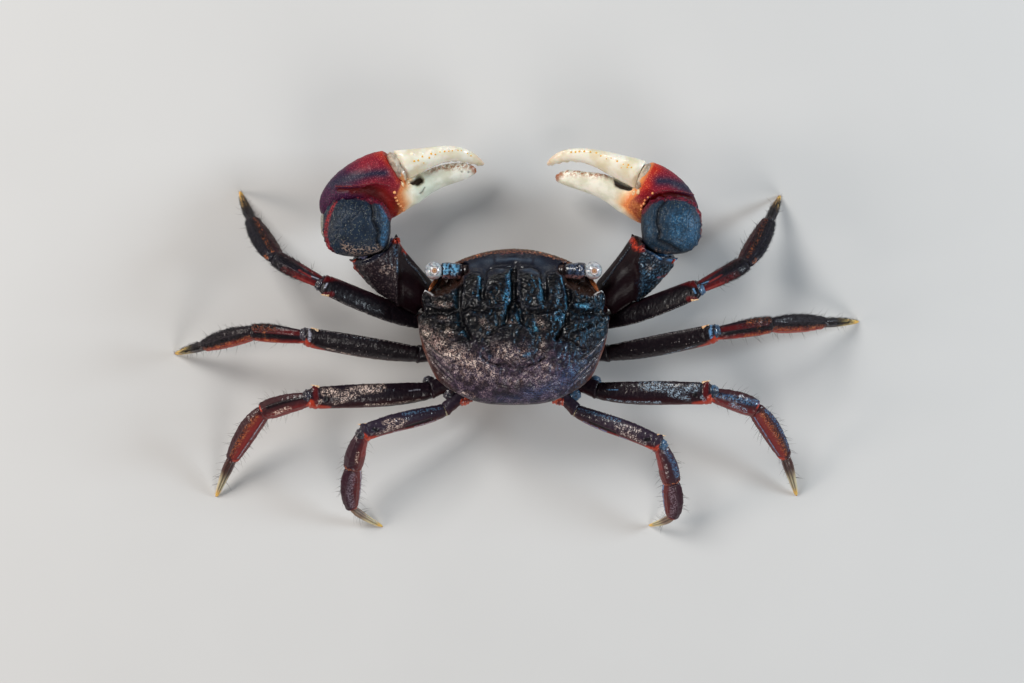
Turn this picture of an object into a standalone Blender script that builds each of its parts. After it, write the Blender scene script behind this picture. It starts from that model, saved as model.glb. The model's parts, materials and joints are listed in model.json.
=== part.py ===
"""A mangrove crab standing on its eight walking legs, with its claws held in front of it.

Units are metres, and MM turns a size in millimetres into them. X runs to the crab's right, Y towards
its head and Z up, and the floor is at z = 0. Each plate of the shell is its own closed solid, and
neighbours keep GAP between them.
"""

import math

import bmesh
import bpy
from mathutils import Matrix, Vector

MM = 0.001
GAP = 0.3 * MM
UP = Vector((0, 0, 1))

# Carapace, half of its outline from the middle of the front to the middle of the rear margin.
FRONT_HALF_MM = ((0, 16.2), (3.4, 15.95), (6.3, 15.4), (9.3, 14.5), (11.6, 13.5), (13.8, 12.2))
SIDE_MM = (
    (15.4, 9.6),
    (17.3, 7.0),
    (18.5, 7.5),
    (19.3, 5.4),
    (18.7, 3.6),
    (18.9, 3.0),
    (19.9, 2.1),
    (19.8, 0.2),
    (19.5, -1.9),
    (18.9, -4.2),
    (18.0, -6.7),
    (17.1, -8.9),
    (15.9, -11.0),
)
REAR_HALF_MM = ((13.6, -12.7), (10.7, -14.3), (8.1, -15.5), (5.2, -16.1), (2.6, -16.25), (0, -16.3))
CARAPACE_COLUMNS = 26
CARAPACE_ROWS = 24

# Heights of the carapace above the floor: along the middle, and along the margin.
MIDDLE_HEIGHT_MM = (
    (16.2, 15.2),
    (15.2, 17.0),
    (13.0, 19.2),
    (11.4, 20.2),
    (10.4, 22.6),
    (6, 24.6),
    (0, 25.8),
    (-6, 25.6),
    (-11, 24.4),
    (-14.5, 22.0),
    (-16.3, 19.6),
)
MARGIN_HEIGHT_MM = (
    (12.2, 14.8),
    (9.6, 15.6),
    (7.5, 18.3),
    (2.1, 18.4),
    (-4.2, 17.6),
    (-9, 17.6),
    (-12.7, 18.6),
)
MARGIN_ROUNDNESS = 3.0
CARAPACE_FLOOR = 12.4 * MM
SIDE_WALL = ((0.35, 0.985), (0.72, 0.93), (1.0, 0.83))

# Grooves and swellings of the back, on one half: points, depth, half width.
GROOVES_MM = (
    (((0, 13.4), (0, 8), (0.2, 2.6)), 1.3, 0.75),
    (((5.9, 12.2), (5.7, 8.6), (5.5, 6.2)), 1.2, 0.7),
    (((10.2, 11.5), (11.1, 5.6), (11.2, 1.6), (9.4, -2.2)), 1.1, 0.8),
    (((1.4, 2.4), (4.2, -0.4), (6.6, -2.6)), 0.8, 0.8),
    (((5.8, -5.2), (3.6, -7.9), (0, -8.8)), 1.2, 0.75),
    (((12.4, 3.2), (15.0, 2.6), (18.0, 1.6)), 0.7, 0.8),
    (((10.6, -2.4), (13.4, -5.6), (14.6, -8.4)), 0.5, 0.9),
)
SWELLINGS_MM = (
    ((2.9, 9.0), 0.7, 2.2),
    ((8.0, 9.2), 0.6, 1.9),
    ((3.6, 4.4), 0.5, 2.4),
    ((8.2, 2.6), 0.5, 2.6),
    ((14.4, 5.4), 0.5, 2.2),
    ((0, -4.0), 0.8, 3.6),
    ((12.5, -1.0), 0.4, 3.2),
)

# Eyes in their sockets, on the right; the left is the mirror image.
ORBIT_CENTRE = Vector((15.2, 10.9, 20.4)) * MM
ORBIT_RADII = (4.75, 4.7, 5.2)
EYE_RADIUS = 1.9 * MM
EYE_CENTRE = Vector((16.3, 11.45, 18.9)) * MM
STALK_ROOT = Vector((9.6, 11.3, 17.7)) * MM
STALK_RADIUS = 1.5 * MM
STALK_SHAPE = ((0, 1.0), (0.3, 1.05), (0.55, 0.95), (0.8, 1.1), (1.0, 1.0))

# Underside: each ring of the trunk is half width, front, rear and height.
TRUNK_RINGS_MM = (
    (8.0, 2.6, -10.5, 4.6),
    (10.8, 3.8, -12.2, 5.3),
    (12.6, 6.6, -13.6, 8.0),
    (13.0, 9.8, -14.1, 10.8),
    (12.6, 10.6, -14.0, 12.0),
)
TRUNK_SQUARENESS = 2.8
PLATE_SQUARENESS = 3.0
TAIL_FLAP_MM = (
    (-14.9, 11.6, 6.0),
    (-15.0, 9.0, 5.9),
    (-14.2, 6.0, 5.4),
    (-12.3, 4.3, 4.6),
    (-8.5, 3.7, 4.4),
    (-3.5, 3.6, 2.9),
    (0.8, 3.7, 1.3),
)
TAIL_FLAP_THICKNESS = 1.0 * MM
MOUTH_TOP = Vector((0, 11.3, 11.6)) * MM
MOUTH_BOTTOM = Vector((0, 4.3, 4.6)) * MM
MOUTH_HALF_WIDTH = 5.7 * MM
# Share of the way down and share of the half width, for one plate and for the backing of both.
MOUTH_PLATE = ((0.02, 0.30), (0.16, 0.44), (0.42, 0.43), (0.55, 0.40), (0.8, 0.42), (0.97, 0.3))
MOUTH_BACKING = ((0, 0.86), (0.2, 1.0), (0.75, 0.95), (1.0, 0.7))
MOUTH_PLATE_HALF_DEPTH = 0.9 * MM
MOUTH_BACKING_HALF_DEPTH = 1.1 * MM
# Each row of an antenna folded under the front is a point and its half thickness.
ANTENNA_MM = (
    (6.4, 14.0, 12.6, 0.75),
    (8.0, 13.7, 12.6, 0.8),
    (9.6, 12.9, 12.3, 0.6),
    (11.6, 11.6, 12.1, 0.4),
    (13.2, 10.2, 11.9, 0.3),
)

# How much of a spine or tooth is sunk in its plate, as a share of its length.
CONE_SUNK = 0.45

# Walking legs: the trunk wall, the start and end of the merus, and the ends of the carpus,
# propodus and dactylus. The tips reach a little under the floor and are cut flat there.
TIP_DEPTH = 0.3
LEG_JOINTS_MM = {
    "l1": (
        (-11.5, 0.9, 7.4),
        (-19.2, 1.2, 8.9),
        (-39.2, 8.9, 18.5),
        (-48.7, 14.1, 15.5),
        (-54.6, 22.3, 7.0),
        (-57.8, 28.7),
    ),
    "r1": (
        (11.5, 0.9, 7.4),
        (19.0, 1.2, 8.9),
        (37.8, 7.9, 18.5),
        (47.4, 13.1, 15.5),
        (53.3, 22.1, 7.0),
        (56.3, 27.8),
    ),
    "l2": (
        (-11.5, -4.9, 7.8),
        (-20.2, -5.6, 9.8),
        (-42.5, -2.2, 19.0),
        (-53.4, -1.3, 15.5),
        (-64.6, -4.0, 6.5),
        (-71.5, -5.7),
    ),
    "r2": (
        (11.5, -4.9, 7.8),
        (20.0, -5.4, 9.8),
        (41.2, -1.5, 19.0),
        (52.8, 0.3, 15.5),
        (64.9, 0.8, 6.0),
        (73.0, 1.1),
    ),
    "l3": (
        (-10.0, -9.8, 8.2),
        (-17.4, -13.2, 10.2),
        (-41.7, -14.9, 18.5),
        (-51.4, -17.6, 14.5),
        (-58.9, -27.7, 5.5),
        (-62.8, -36.0),
    ),
    "r3": (
        (10.0, -9.8, 8.2),
        (17.6, -13.2, 10.2),
        (40.5, -14.0, 18.5),
        (49.6, -17.0, 14.5),
        (56.8, -27.2, 5.5),
        (59.8, -35.8),
    ),
    "l4": (
        (-8.2, -12.0, 8.8),
        (-14.4, -17.2, 10.0),
        (-30.7, -22.3, 16.0),
        (-33.3, -29.3, 10.5),
        (-33.6, -38.0, 4.0),
        (-27.4, -42.3),
    ),
    "r4": (
        (8.2, -12.0, 8.8),
        (13.2, -17.4, 10.0),
        (29.9, -24.6, 16.0),
        (32.7, -32.2, 10.5),
        (33.0, -39.8, 5.0),
        (28.5, -42.0),
    ),
}
# Half breadth and half thickness of merus, carpus, propodus and dactylus, then how far the crest
# of the merus and of the rest leans from upright towards the front.
LEG_SIZES_MM = {
    "1": ((3.1, 1.7), (2.1, 1.5), (2.6, 1.4), (1.15, 0.9)),
    "2": ((3.15, 1.75), (2.3, 1.6), (2.35, 1.4), (1.2, 0.95)),
    "3": ((2.7, 1.6), (2.4, 1.6), (2.4, 1.4), (1.25, 0.95)),
    "4": ((2.05, 1.4), (2.25, 1.5), (2.4, 1.3), (0.95, 0.8)),
}
LEG_LEAN = {"1": (-38, -55), "2": (35, 50), "3": (64, 68), "4": (66, 72)}
BASE_SHAPE = ((0, 0.8), (0.35, 0.82), (0.6, 0.78), (1, 0.86))
MERUS_SHAPE = ((0, 0.66), (0.1, 0.84), (0.35, 1.0), (0.65, 1.0), (0.9, 0.93), (0.965, 0.9), (1, 0.72))
CARPUS_SHAPE = ((0, 0.62), (0.14, 0.78), (0.5, 0.95), (0.84, 1.0), (1, 0.8))
PROPODUS_SHAPE = ((0, 0.66), (0.1, 0.86), (0.35, 1.0), (0.7, 0.88), (0.92, 0.66), (1, 0.5))
DACTYL_SHAPE = ((0, 0.78), (0.14, 1.0), (0.45, 0.78), (0.75, 0.48), (1, 0.2))
# The base's size in shares of the merus's, and where on the merus its spine is rooted.
BASE_SCALE = (0.86, 1.12)
SPINE_PLACE = 0.93
SPINE_ROOT = 0.84
SPINE_FORWARD = 0.9
SPINE_RADIUS = 0.6 * MM
SPINE_LENGTH = 1.7 * MM

# Claws: fork is where the two fingers part, heading the way the palm points in plan, measured
# from straight across, and the rows are distance along, height, half height in the claw's plane.
CLAW_LEAN = 42
CLAW_MM = {
    "l": {
        "fork": (-25.1, 29.9, 12.5),
        "heading": 25,
        "palm": (
            (-15.6, -1.5, 2.2),
            (-14.2, -1.1, 4.7),
            (-11.9, -0.5, 6.4),
            (-8.4, 0.1, 7.7),
            (-4.4, 0.3, 8.3),
            (0, 0.4, 7.9),
        ),
        "shoulder": (1.6, 0.3, 7.5),
        "fixed": (
            (2.6, -4.7, 3.1),
            (5.9, -3.9, 2.65),
            (9.5, -4.0, 2.5),
            (12.0, -4.6, 2.35),
            (14.1, -5.3, 2.1),
            (15.6, -6.1, 1.4),
            (16.9, -6.7, 0.5),
        ),
        "dactyl": (
            (2.0, 3.3, 3.9),
            (5.2, 2.4, 3.4),
            (8.0, 2.0, 2.5),
            (11.4, 1.3, 2.05),
            (13.4, 0.4, 1.85),
            (15.2, -0.9, 1.6),
            (16.8, -2.7, 1.3),
            (18.0, -4.6, 0.9),
            (18.8, -6.2, 0.3),
        ),
        "carpus": (-32.2, 20.5, 15.9),
        "carpus_size": (7.1, 6.3, 5.4),
        "carpus_margin": (70, 240),
        "tooth": 0.27,
        "wrist": (-18.2, 5.6, 11.3),
        "elbow": (-29.3, 16.4, 13.8),
    },
    "r": {
        "fork": (27.2, 27.8, 12.5),
        "heading": 24,
        "palm": (
            (-11.8, -1.7, 1.9),
            (-10.7, -1.5, 3.4),
            (-9.0, -1.1, 4.9),
            (-6.7, -0.7, 6.2),
            (-3.3, -0.1, 7.2),
            (0, 0.1, 7.4),
        ),
        "shoulder": (1.5, 0.3, 7.2),
        "fixed": (
            (2.6, -3.9, 3.3),
            (6.5, -3.0, 3.0),
            (9.2, -3.1, 2.7),
            (12.2, -3.9, 2.3),
            (15.4, -4.8, 2.0),
            (17.1, -5.7, 1.3),
            (18.1, -6.4, 0.5),
        ),
        "dactyl": (
            (2.0, 3.8, 3.5),
            (5.0, 3.5, 3.2),
            (8.4, 3.3, 2.7),
            (11.3, 3.1, 2.1),
            (14.5, 2.5, 1.75),
            (17.3, 1.0, 1.5),
            (19.0, -0.6, 1.3),
            (20.2, -2.4, 0.9),
            (20.8, -4.0, 0.3),
        ),
        "carpus": (32.4, 20.8, 15.9),
        "carpus_size": (6.3, 6.1, 5.4),
        "carpus_margin": (110, -55),
        "tooth": 0.27,
        "wrist": (18.6, 5.5, 11.3),
        "elbow": (29.4, 16.7, 13.8),
    },
}
PALM_SIDES = 20
PALM_FATNESS = 0.66
SHOULDER_TILT = 0.12
SHOULDER_FATNESS = 0.6
# The palm's hollow, by how far round from the top of the section it lies and spreads, in degrees.
HOLLOW_TURN = 78
HOLLOW_SPREAD = 15
HOLLOW_DEPTH = 0.12
FINGER_FATNESS = 0.74
CARPUS_SQUARENESS = 2.7
CLAW_ELBOW_WAY = Vector((0.45, 0.89, 0.2))
CLAW_MERUS_SHAPE = ((0, 0.55), (0.14, 0.68), (0.4, 0.84), (0.7, 0.95), (0.92, 1.0), (1, 0.84))
CLAW_MERUS_HALF_BREADTH = 5.4 * MM
CLAW_MERUS_HALF_HEIGHT = 4.4 * MM
CLAW_COXA_MM = (8.6, 3.4, 7.6)
CLAW_BASE_HALF_SIZES = (2.9 * MM, 3.2 * MM)
# The claw arm's teeth: how far back from the elbow, out in shares of the half breadth, and down.
MERUS_TOOTH_BACK = 1.1 * MM
MERUS_TOOTH_REACH = 1.02
MERUS_TOOTH_WAY = (0.87, -0.5, 0.8)
MERUS_TOOTH_RADIUS = 0.8 * MM
MERUS_TOOTH_LENGTH = 2.0 * MM
MARGIN_TEETH = 10
MARGIN_TOOTH_RADIUS = 0.55 * MM
# The wrist block's margin, in shares of its half height and half breadth, and how fast its top and
# its underside draw in.
MARGIN_HEIGHT = 0.42
MARGIN_INSET = 0.93
CARPUS_TOP_POWER = 0.7
CARPUS_UNDER_POWER = 0.9
# Teeth of the fingers: number, share of the finger where they start, share between two, smallest
# radius, how much the middle ones are larger, length to radius and bluntness.
TEETH = 6
TEETH_START = 0.36
TEETH_STEP = 0.11
TOOTH_RADIUS_MM = 0.55
TOOTH_GAIN_MM = 0.2
TOOTH_LENGTH = 2.4
TOOTH_BLUNTNESS = 0.4
# Beads on the back of the movable finger: number, start, step, how far off the edge, radius.
FINGER_BEADS = 8
FINGER_BEAD_START = 0.16
FINGER_BEAD_STEP = 0.075
FINGER_BEAD_OFFSET = 0.28
FINGER_BEAD_SUNK = 0.22 * MM
FINGER_BEAD_RADIUS = 0.42 * MM
# Beads of the palm's ridge: number, the rows between which they lie, how far round and their size.
PALM_BEADS = 9
PALM_BEAD_ROWS = (3.0, 4.9)
PALM_BEAD_TURN = 52
PALM_BEAD_SUNK = 0.97
PALM_BEAD_RADIUS = 0.5 * MM

COLOURS = {
    "shell": ((0.035, 0.035, 0.05), 0.3),
    "underside": ((0.35, 0.28, 0.24), 0.45),
    "eye": ((0.6, 0.63, 0.62), 0.1),
    "leg": ((0.1, 0.035, 0.05), 0.35),
    "leg_tip": ((0.75, 0.55, 0.2), 0.35),
    "claw": ((0.35, 0.04, 0.07), 0.35),
    "claw_finger": ((0.8, 0.75, 0.62), 0.35),
    "claw_arm": ((0.06, 0.1, 0.17), 0.45),
}


def start_scene():
    """Empties the scene, and makes a collection for the crab and one for its cutters."""
    for old in list(bpy.data.objects):
        bpy.data.objects.remove(old, do_unlink=True)
    crab = bpy.data.collections.new("mangrove_crab")
    cutters = bpy.data.collections.new("cutters")
    for collection in (crab, cutters):
        bpy.context.scene.collection.children.link(collection)
    cutters.hide_render = True
    return crab, cutters


CRAB, CUTTERS = start_scene()


def material(name):
    made = bpy.data.materials.new(name)
    made.use_nodes = True
    shader = made.node_tree.nodes["Principled BSDF"]
    colour, roughness = COLOURS[name]
    shader.inputs["Base Color"].default_value = (*colour, 1)
    shader.inputs["Roughness"].default_value = roughness
    shader.inputs["Metallic"].default_value = 0
    made.diffuse_color = (*colour, 1)
    return made


def new_object(name, mesh_builder, slot, collection=None):
    """Makes an object from a bmesh, with its own material and smooth faces."""
    bmesh.ops.triangulate(mesh_builder, faces=mesh_builder.faces)
    bmesh.ops.recalc_face_normals(mesh_builder, faces=mesh_builder.faces)
    mesh = bpy.data.meshes.new(name)
    mesh_builder.to_mesh(mesh)
    mesh_builder.free()
    mesh.shade_smooth()
    obj = bpy.data.objects.new(name, mesh)
    (collection or CRAB).objects.link(obj)
    if slot:
        finish = material(slot)
        finish.name = name
        mesh.materials.append(finish)
    return obj


def cutter_object(name, mesh_builder):
    """A closed shape that only cuts others."""
    cutter = new_object(name, mesh_builder, None, CUTTERS)
    cutter.display_type = "WIRE"
    cutter.hide_render = True
    return cutter


def smooth_step(value):
    value = min(1.0, max(0.0, value))
    return value * value * (3 - 2 * value)


def along_rows(rows, place):
    """Reads a height from (place, height) rows that run from high places to low ones."""
    if place >= rows[0][0]:
        return rows[0][1]
    for (here, height), (there, next_height) in zip(rows, rows[1:]):
        if place >= there:
            return height + (next_height - height) * (here - place) / (here - there)
    return rows[-1][1]


def resample(points, count):
    """Places count points at even distances along a line of plan points."""
    lengths = [0.0]
    for here, there in zip(points, points[1:]):
        lengths.append(lengths[-1] + (there - here).length)
    spaced = []
    step = 0
    for index in range(count):
        wanted = lengths[-1] * index / (count - 1)
        while step < len(points) - 2 and lengths[step + 1] < wanted:
            step += 1
        share = (wanted - lengths[step]) / (lengths[step + 1] - lengths[step])
        spaced.append(points[step].lerp(points[step + 1], share))
    return spaced


# Lofts through rings of unlike sections make the limbs, claws, trunk and tail flap.


def ring(centre, across, over, profile):
    """One ring of points: across and over are the half sizes as vectors."""
    return [centre + across * u + over * v for u, v in profile]


def loft(rings):
    """Closes a stack of rings into one body, with a flat cap at each end."""
    builder = bmesh.new()
    rows = [[builder.verts.new(point) for point in points] for points in rings]
    count = len(rows[0])
    for near, far in zip(rows, rows[1:]):
        for k in range(count):
            after = (k + 1) % count
            builder.faces.new((near[k], near[after], far[after], far[k]))
    builder.faces.new(rows[0])
    builder.faces.new(rows[-1])
    return builder


def round_profile(sides, squareness=2.0):
    """A superellipse, round at 2 and squarer above it, starting at the top."""
    points = []
    for k in range(sides):
        angle = math.pi / 2 + math.tau * k / sides
        u, v = math.cos(angle), math.sin(angle)
        power = 2 / squareness
        points.append((math.copysign(abs(u) ** power, u), math.copysign(abs(v) ** power, v)))
    return points


def crest_profile(sides):
    """A leg's section, rounded below and drawn in to a blunt crest on top."""
    return [(u * (1 - 0.32 * max(0.0, v) ** 2), v) for u, v in round_profile(sides)]


def three_sided_profile(sides):
    """The claw arm's section, with a ridge on top and an edge on each side below."""
    points = []
    for k in range(sides):
        angle = math.pi / 2 + math.tau * k / sides
        reach = 1 + 0.13 * math.cos(3 * (angle - math.pi / 2))
        points.append((reach * math.cos(angle), reach * math.sin(angle)))
    return points


def curve_point(start, end, start_way, end_way, share):
    """A cubic that leaves start and reaches end in the given directions, with its tangent."""
    span = (end - start).length * 0.8
    a, b = start_way * span, end_way * span
    s, s2, s3 = share, share * share, share**3
    point = (
        start * (2 * s3 - 3 * s2 + 1)
        + a * (s3 - 2 * s2 + s)
        + end * (3 * s2 - 2 * s3)
        + b * (s3 - s2)
    )
    tangent = (
        start * (6 * s2 - 6 * s)
        + a * (3 * s2 - 4 * s + 1)
        + end * (6 * s - 6 * s2)
        + b * (3 * s2 - 2 * s)
    )
    return point, tangent.normalized()


def limb_rings(ends, ways, crest, half_sizes, shape, profile):
    """Rings of a limb segment between two joints, square to a curve through them."""
    start = ends[0] + ways[0] * GAP / 2
    end = ends[1] - ways[1] * GAP / 2
    breadth, thickness = half_sizes
    rings = []
    for share, scale in shape:
        centre, tangent = curve_point(start, end, ways[0], ways[1], share)
        over = (crest - tangent * crest.dot(tangent)).normalized()
        across = tangent.cross(over)
        thick_scale = 0.35 + 0.65 * scale if scale > 0.5 else scale
        rings.append(
            ring(centre, across * thickness * thick_scale, over * breadth * scale, profile)
        )
    return rings


def grown_copy(obj, amount, name):
    """A cutter: the object's shape with its surface moved out along its normals."""
    graph = bpy.context.evaluated_depsgraph_get()
    mesh = bpy.data.meshes.new_from_object(obj.evaluated_get(graph))
    builder = bmesh.new()
    builder.from_mesh(mesh)
    bmesh.ops.triangulate(builder, faces=builder.faces)
    moves = {vert: vert.normal * amount * vert.calc_shell_factor() for vert in builder.verts}
    limit = 1.6 * amount
    for vert, move in moves.items():
        if move.length > limit:
            move = move.normalized() * limit
        vert.co += move
    builder.to_mesh(mesh)
    builder.free()
    cutter = bpy.data.objects.new(name, mesh)
    cutter.display_type = "WIRE"
    cutter.hide_render = True
    CUTTERS.objects.link(cutter)
    return cutter


def applied(obj):
    """Keeps the result of an object's modifiers as its own mesh."""
    bpy.context.view_layer.update()
    graph = bpy.context.evaluated_depsgraph_get()
    mesh = bpy.data.meshes.new_from_object(obj.evaluated_get(graph))
    obj.modifiers.clear()
    old = obj.data
    obj.data = mesh
    bpy.data.meshes.remove(old)
    mesh.name = obj.name
    mesh.shade_smooth()


def keep_largest(obj):
    """Drops every loose scrap of a mesh but its largest closed surface."""
    builder = bmesh.new()
    builder.from_mesh(obj.data)
    bmesh.ops.remove_doubles(builder, verts=builder.verts, dist=0.004 * MM)
    bmesh.ops.dissolve_degenerate(builder, dist=0.004 * MM, edges=builder.edges)
    left = set(builder.verts)
    groups = []
    while left:
        found = {left.pop()}
        waiting = list(found)
        while waiting:
            for edge in waiting.pop().link_edges:
                for vert in edge.verts:
                    if vert in left:
                        left.discard(vert)
                        found.add(vert)
                        waiting.append(vert)
        groups.append(found)
    groups.sort(key=lambda verts: box_size(verts))
    scraps = [vert for verts in groups[:-1] for vert in verts]
    bmesh.ops.delete(builder, geom=scraps, context="VERTS")
    bmesh.ops.triangulate(builder, faces=builder.faces)
    builder.to_mesh(obj.data)
    builder.free()


def box_size(verts):
    low = [min(vert.co[axis] for vert in verts) for axis in range(3)]
    high = [max(vert.co[axis] for vert in verts) for axis in range(3)]
    return math.dist(low, high)


def closed_volume(mesh):
    """The volume that a mesh encloses, or nothing where it has a hole."""
    builder = bmesh.new()
    builder.from_mesh(mesh)
    closed = bool(builder.faces) and all(edge.is_manifold for edge in builder.edges)
    volume = builder.calc_volume() if closed else 0.0
    builder.free()
    return volume


def combine(obj, operation, other):
    """One Boolean with an object or a collection: the exact solver, or where it fails the manifold one."""
    boolean = obj.modifiers.new(operation.lower(), "BOOLEAN")
    boolean.operation = operation
    if isinstance(other, bpy.types.Collection):
        boolean.operand_type = "COLLECTION"
        boolean.collection = other
    else:
        boolean.object = other
    before = closed_volume(obj.data)
    for solver in ("EXACT", "MANIFOLD"):
        boolean.solver = solver
        bpy.context.view_layer.update()
        result = obj.evaluated_get(bpy.context.evaluated_depsgraph_get())
        volume = closed_volume(result.data)
        right_way = volume <= before * 1.0001 if operation == "DIFFERENCE" else volume >= before * 0.9999
        if volume and right_way:
            break
    applied(obj)
    keep_largest(obj)


def cut(obj, cutters):
    """Cuts closed shapes out of an object, one after another."""
    for cutter in cutters:
        combine(obj, "DIFFERENCE", cutter)


def fuse(obj, pieces):
    """Joins rooted pieces to an object by one union, and removes them."""
    group = bpy.data.collections.new("rooted")
    bpy.context.scene.collection.children.link(group)
    for piece in pieces:
        for holder in list(piece.users_collection):
            holder.objects.unlink(piece)
        group.objects.link(piece)
    combine(obj, "UNION", group)
    for piece in pieces:
        bpy.data.objects.remove(piece, do_unlink=True)
    bpy.data.collections.remove(group)


def cone_on(base, way, radius, length, sides=6, tip=0.15):
    """A small spine or tooth, its root sunk under base."""
    builder = bmesh.new()
    bmesh.ops.create_cone(
        builder,
        cap_ends=True,
        segments=sides,
        radius1=radius,
        radius2=radius * tip,
        depth=length,
    )
    turn = way.to_track_quat("Z", "Y").to_matrix().to_4x4()
    middle = base + way * length * (0.5 - CONE_SUNK)
    bmesh.ops.transform(builder, matrix=Matrix.Translation(middle) @ turn, verts=builder.verts)
    return new_object("rooted_piece", builder, None)


def bead_on(base, radius):
    """A low tubercle, half sunk in the surface."""
    builder = bmesh.new()
    bmesh.ops.create_icosphere(builder, subdivisions=1, radius=radius)
    bmesh.ops.translate(builder, verts=builder.verts, vec=base)
    return new_object("rooted_piece", builder, None)


# Carapace


def mirrored(points):
    return [Vector((-x, y)) for x, y in points]


def outline_sides():
    """The four edges of the carapace in plan: front and rear run left to right, sides rear to front."""
    right_front = [Vector(point) for point in FRONT_HALF_MM]
    front = list(reversed(mirrored(FRONT_HALF_MM[1:]))) + right_front
    rear_half = [Vector(point) for point in reversed(REAR_HALF_MM)]
    rear = list(reversed([Vector((-p.x, p.y)) for p in rear_half[1:]])) + rear_half
    side = [rear[-1]] + [Vector(point) for point in reversed(SIDE_MM)] + [front[-1]]
    return front, rear, side


def distance_to_line(point, line):
    nearest = math.inf
    for start, end in zip(line, line[1:]):
        start, end = Vector(start), Vector(end)
        run = end - start
        share = min(1.0, max(0.0, (point - start).dot(run) / run.length_squared))
        nearest = min(nearest, (point - start - run * share).length)
    return nearest


def relief(x, y):
    """Height of the grooves and swellings of the back, the same on both halves."""
    place = Vector((abs(x), y))
    height = 0.0
    for centre, rise, spread in SWELLINGS_MM:
        away = (place - Vector(centre)).length / spread
        height += rise * math.exp(-away * away)
    sink = 0.0
    for line, depth, spread in GROOVES_MM:
        away = distance_to_line(place, line) / spread
        sink = max(sink, depth * math.exp(-away * away))
    return height - sink


def back_height(x, y, u):
    """Height of the carapace at a plan point; u runs from 0 at its left edge to 1 at its right."""
    middle = along_rows(MIDDLE_HEIGHT_MM, y)
    margin = along_rows(MARGIN_HEIGHT_MM, y)
    crown = 1 - abs(2 * u - 1) ** MARGIN_ROUNDNESS
    fade = smooth_step(crown * 4)
    return margin + (middle - margin) * crown + relief(x, y) * fade


def carapace_mesh():
    """A grid stretched over the outline and raised to its heights, with walls and a floor below."""
    front, rear, side = outline_sides()
    front = resample(front, CARAPACE_COLUMNS + 1)
    rear = resample(rear, CARAPACE_COLUMNS + 1)
    side = stations_with_corners(side, CARAPACE_ROWS + 1)
    builder = bmesh.new()
    bmesh.ops.create_grid(builder, x_segments=CARAPACE_COLUMNS, y_segments=CARAPACE_ROWS, size=0.5)
    for vert in builder.verts:
        u, v = vert.co.x + 0.5, vert.co.y + 0.5
        column, row = round(u * CARAPACE_COLUMNS), round(v * CARAPACE_ROWS)
        right = side[row]
        left = Vector((-right.x, right.y))
        corner = [
            rear[0] * (1 - u) * (1 - v),
            rear[-1] * u * (1 - v),
            front[0] * (1 - u) * v,
            front[-1] * u * v,
        ]
        plan = rear[column] * (1 - v) + front[column] * v + left * (1 - u) + right * u
        plan = plan - corner[0] - corner[1] - corner[2] - corner[3]
        vert.co = Vector((plan.x, plan.y, back_height(plan.x, plan.y, u))) * MM
    add_walls(builder)
    return builder


def stations_with_corners(points, count):
    """Spreads count points over a line and keeps each of its own corners."""
    lengths = [(there - here).length for here, there in zip(points, points[1:])]
    parts = [1] * len(lengths)
    while sum(parts) < count - 1:
        widest = max(range(len(lengths)), key=lambda k: lengths[k] / parts[k])
        parts[widest] += 1
    spread = [points[0]]
    for here, there, number in zip(points, points[1:], parts):
        spread += [here.lerp(there, (k + 1) / number) for k in range(number)]
    return spread


def add_walls(builder):
    """Extrudes the open edge down in steps, drawn in towards the belly, and closes the floor."""
    top = {}
    edges = [edge for edge in builder.edges if edge.is_boundary]
    for vert in {vert for edge in edges for vert in edge.verts}:
        top[vert] = vert.co.copy()
    origin = dict(top)
    for drop, inset in SIDE_WALL:
        made = bmesh.ops.extrude_edge_only(builder, edges=edges)["geom"]
        new_verts = [item for item in made if isinstance(item, bmesh.types.BMVert)]
        edges = [
            item for item in made if isinstance(item, bmesh.types.BMEdge) and item.is_boundary
        ]
        carried = {}
        for vert in new_verts:
            above = next(
                edge.other_vert(vert) for edge in vert.link_edges if edge.other_vert(vert) in origin
            )
            carried[vert] = origin[above]
        for vert, start in carried.items():
            depth = start.z - CARAPACE_FLOOR
            vert.co = Vector((start.x * inset, start.y * inset, start.z - depth * drop))
        origin = carried
    floor = bmesh.ops.edgeloop_fill(builder, edges=edges)["faces"]
    bmesh.ops.poke(builder, faces=floor)


def ellipsoid(centre, radii_mm, segments, rings):
    builder = bmesh.new()
    bmesh.ops.create_uvsphere(builder, u_segments=segments, v_segments=rings, radius=1)
    size = Matrix.Diagonal((*[radius * MM for radius in radii_mm], 1))
    bmesh.ops.transform(builder, matrix=Matrix.Translation(centre) @ size, verts=builder.verts)
    return builder


def flipped(vector, side):
    return Vector((vector.x * side, vector.y, vector.z))


def stalk_rings(side, grow=0.0):
    root = flipped(STALK_ROOT, side)
    tip = flipped(EYE_CENTRE, side)
    way = (tip - root).normalized()
    over = (UP - way * UP.dot(way)).normalized()
    across = way.cross(over)
    rings = []
    root -= way * grow
    for share, scale in STALK_SHAPE:
        radius = STALK_RADIUS * scale + grow
        rings.append(ring(root.lerp(tip, share), across * radius, over * radius, round_profile(12)))
    return rings


def make_carapace():
    obj = new_object("carapace", carapace_mesh(), "shell")
    for side in (1, -1):
        orbit = ellipsoid(flipped(ORBIT_CENTRE, side), ORBIT_RADII, 20, 12)
        socket = loft(stalk_rings(side, GAP))
        cut(obj, [cutter_object(f"orbit_{side}", orbit), cutter_object(f"stalk_socket_{side}", socket)])
    return obj


def make_eyes():
    for letter, side in (("r", 1), ("l", -1)):
        centre = flipped(EYE_CENTRE, side)
        eye = new_object(f"eye_{letter}", ellipsoid(centre, [EYE_RADIUS / MM] * 3, 16, 10), "eye")
        stalk = new_object(f"eyestalk_{letter}", loft(stalk_rings(side)), "shell")
        cut(stalk, [grown_copy(eye, GAP, f"eye_room_{letter}")])


# Trunk, tail flap and mouthparts on the underside


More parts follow.
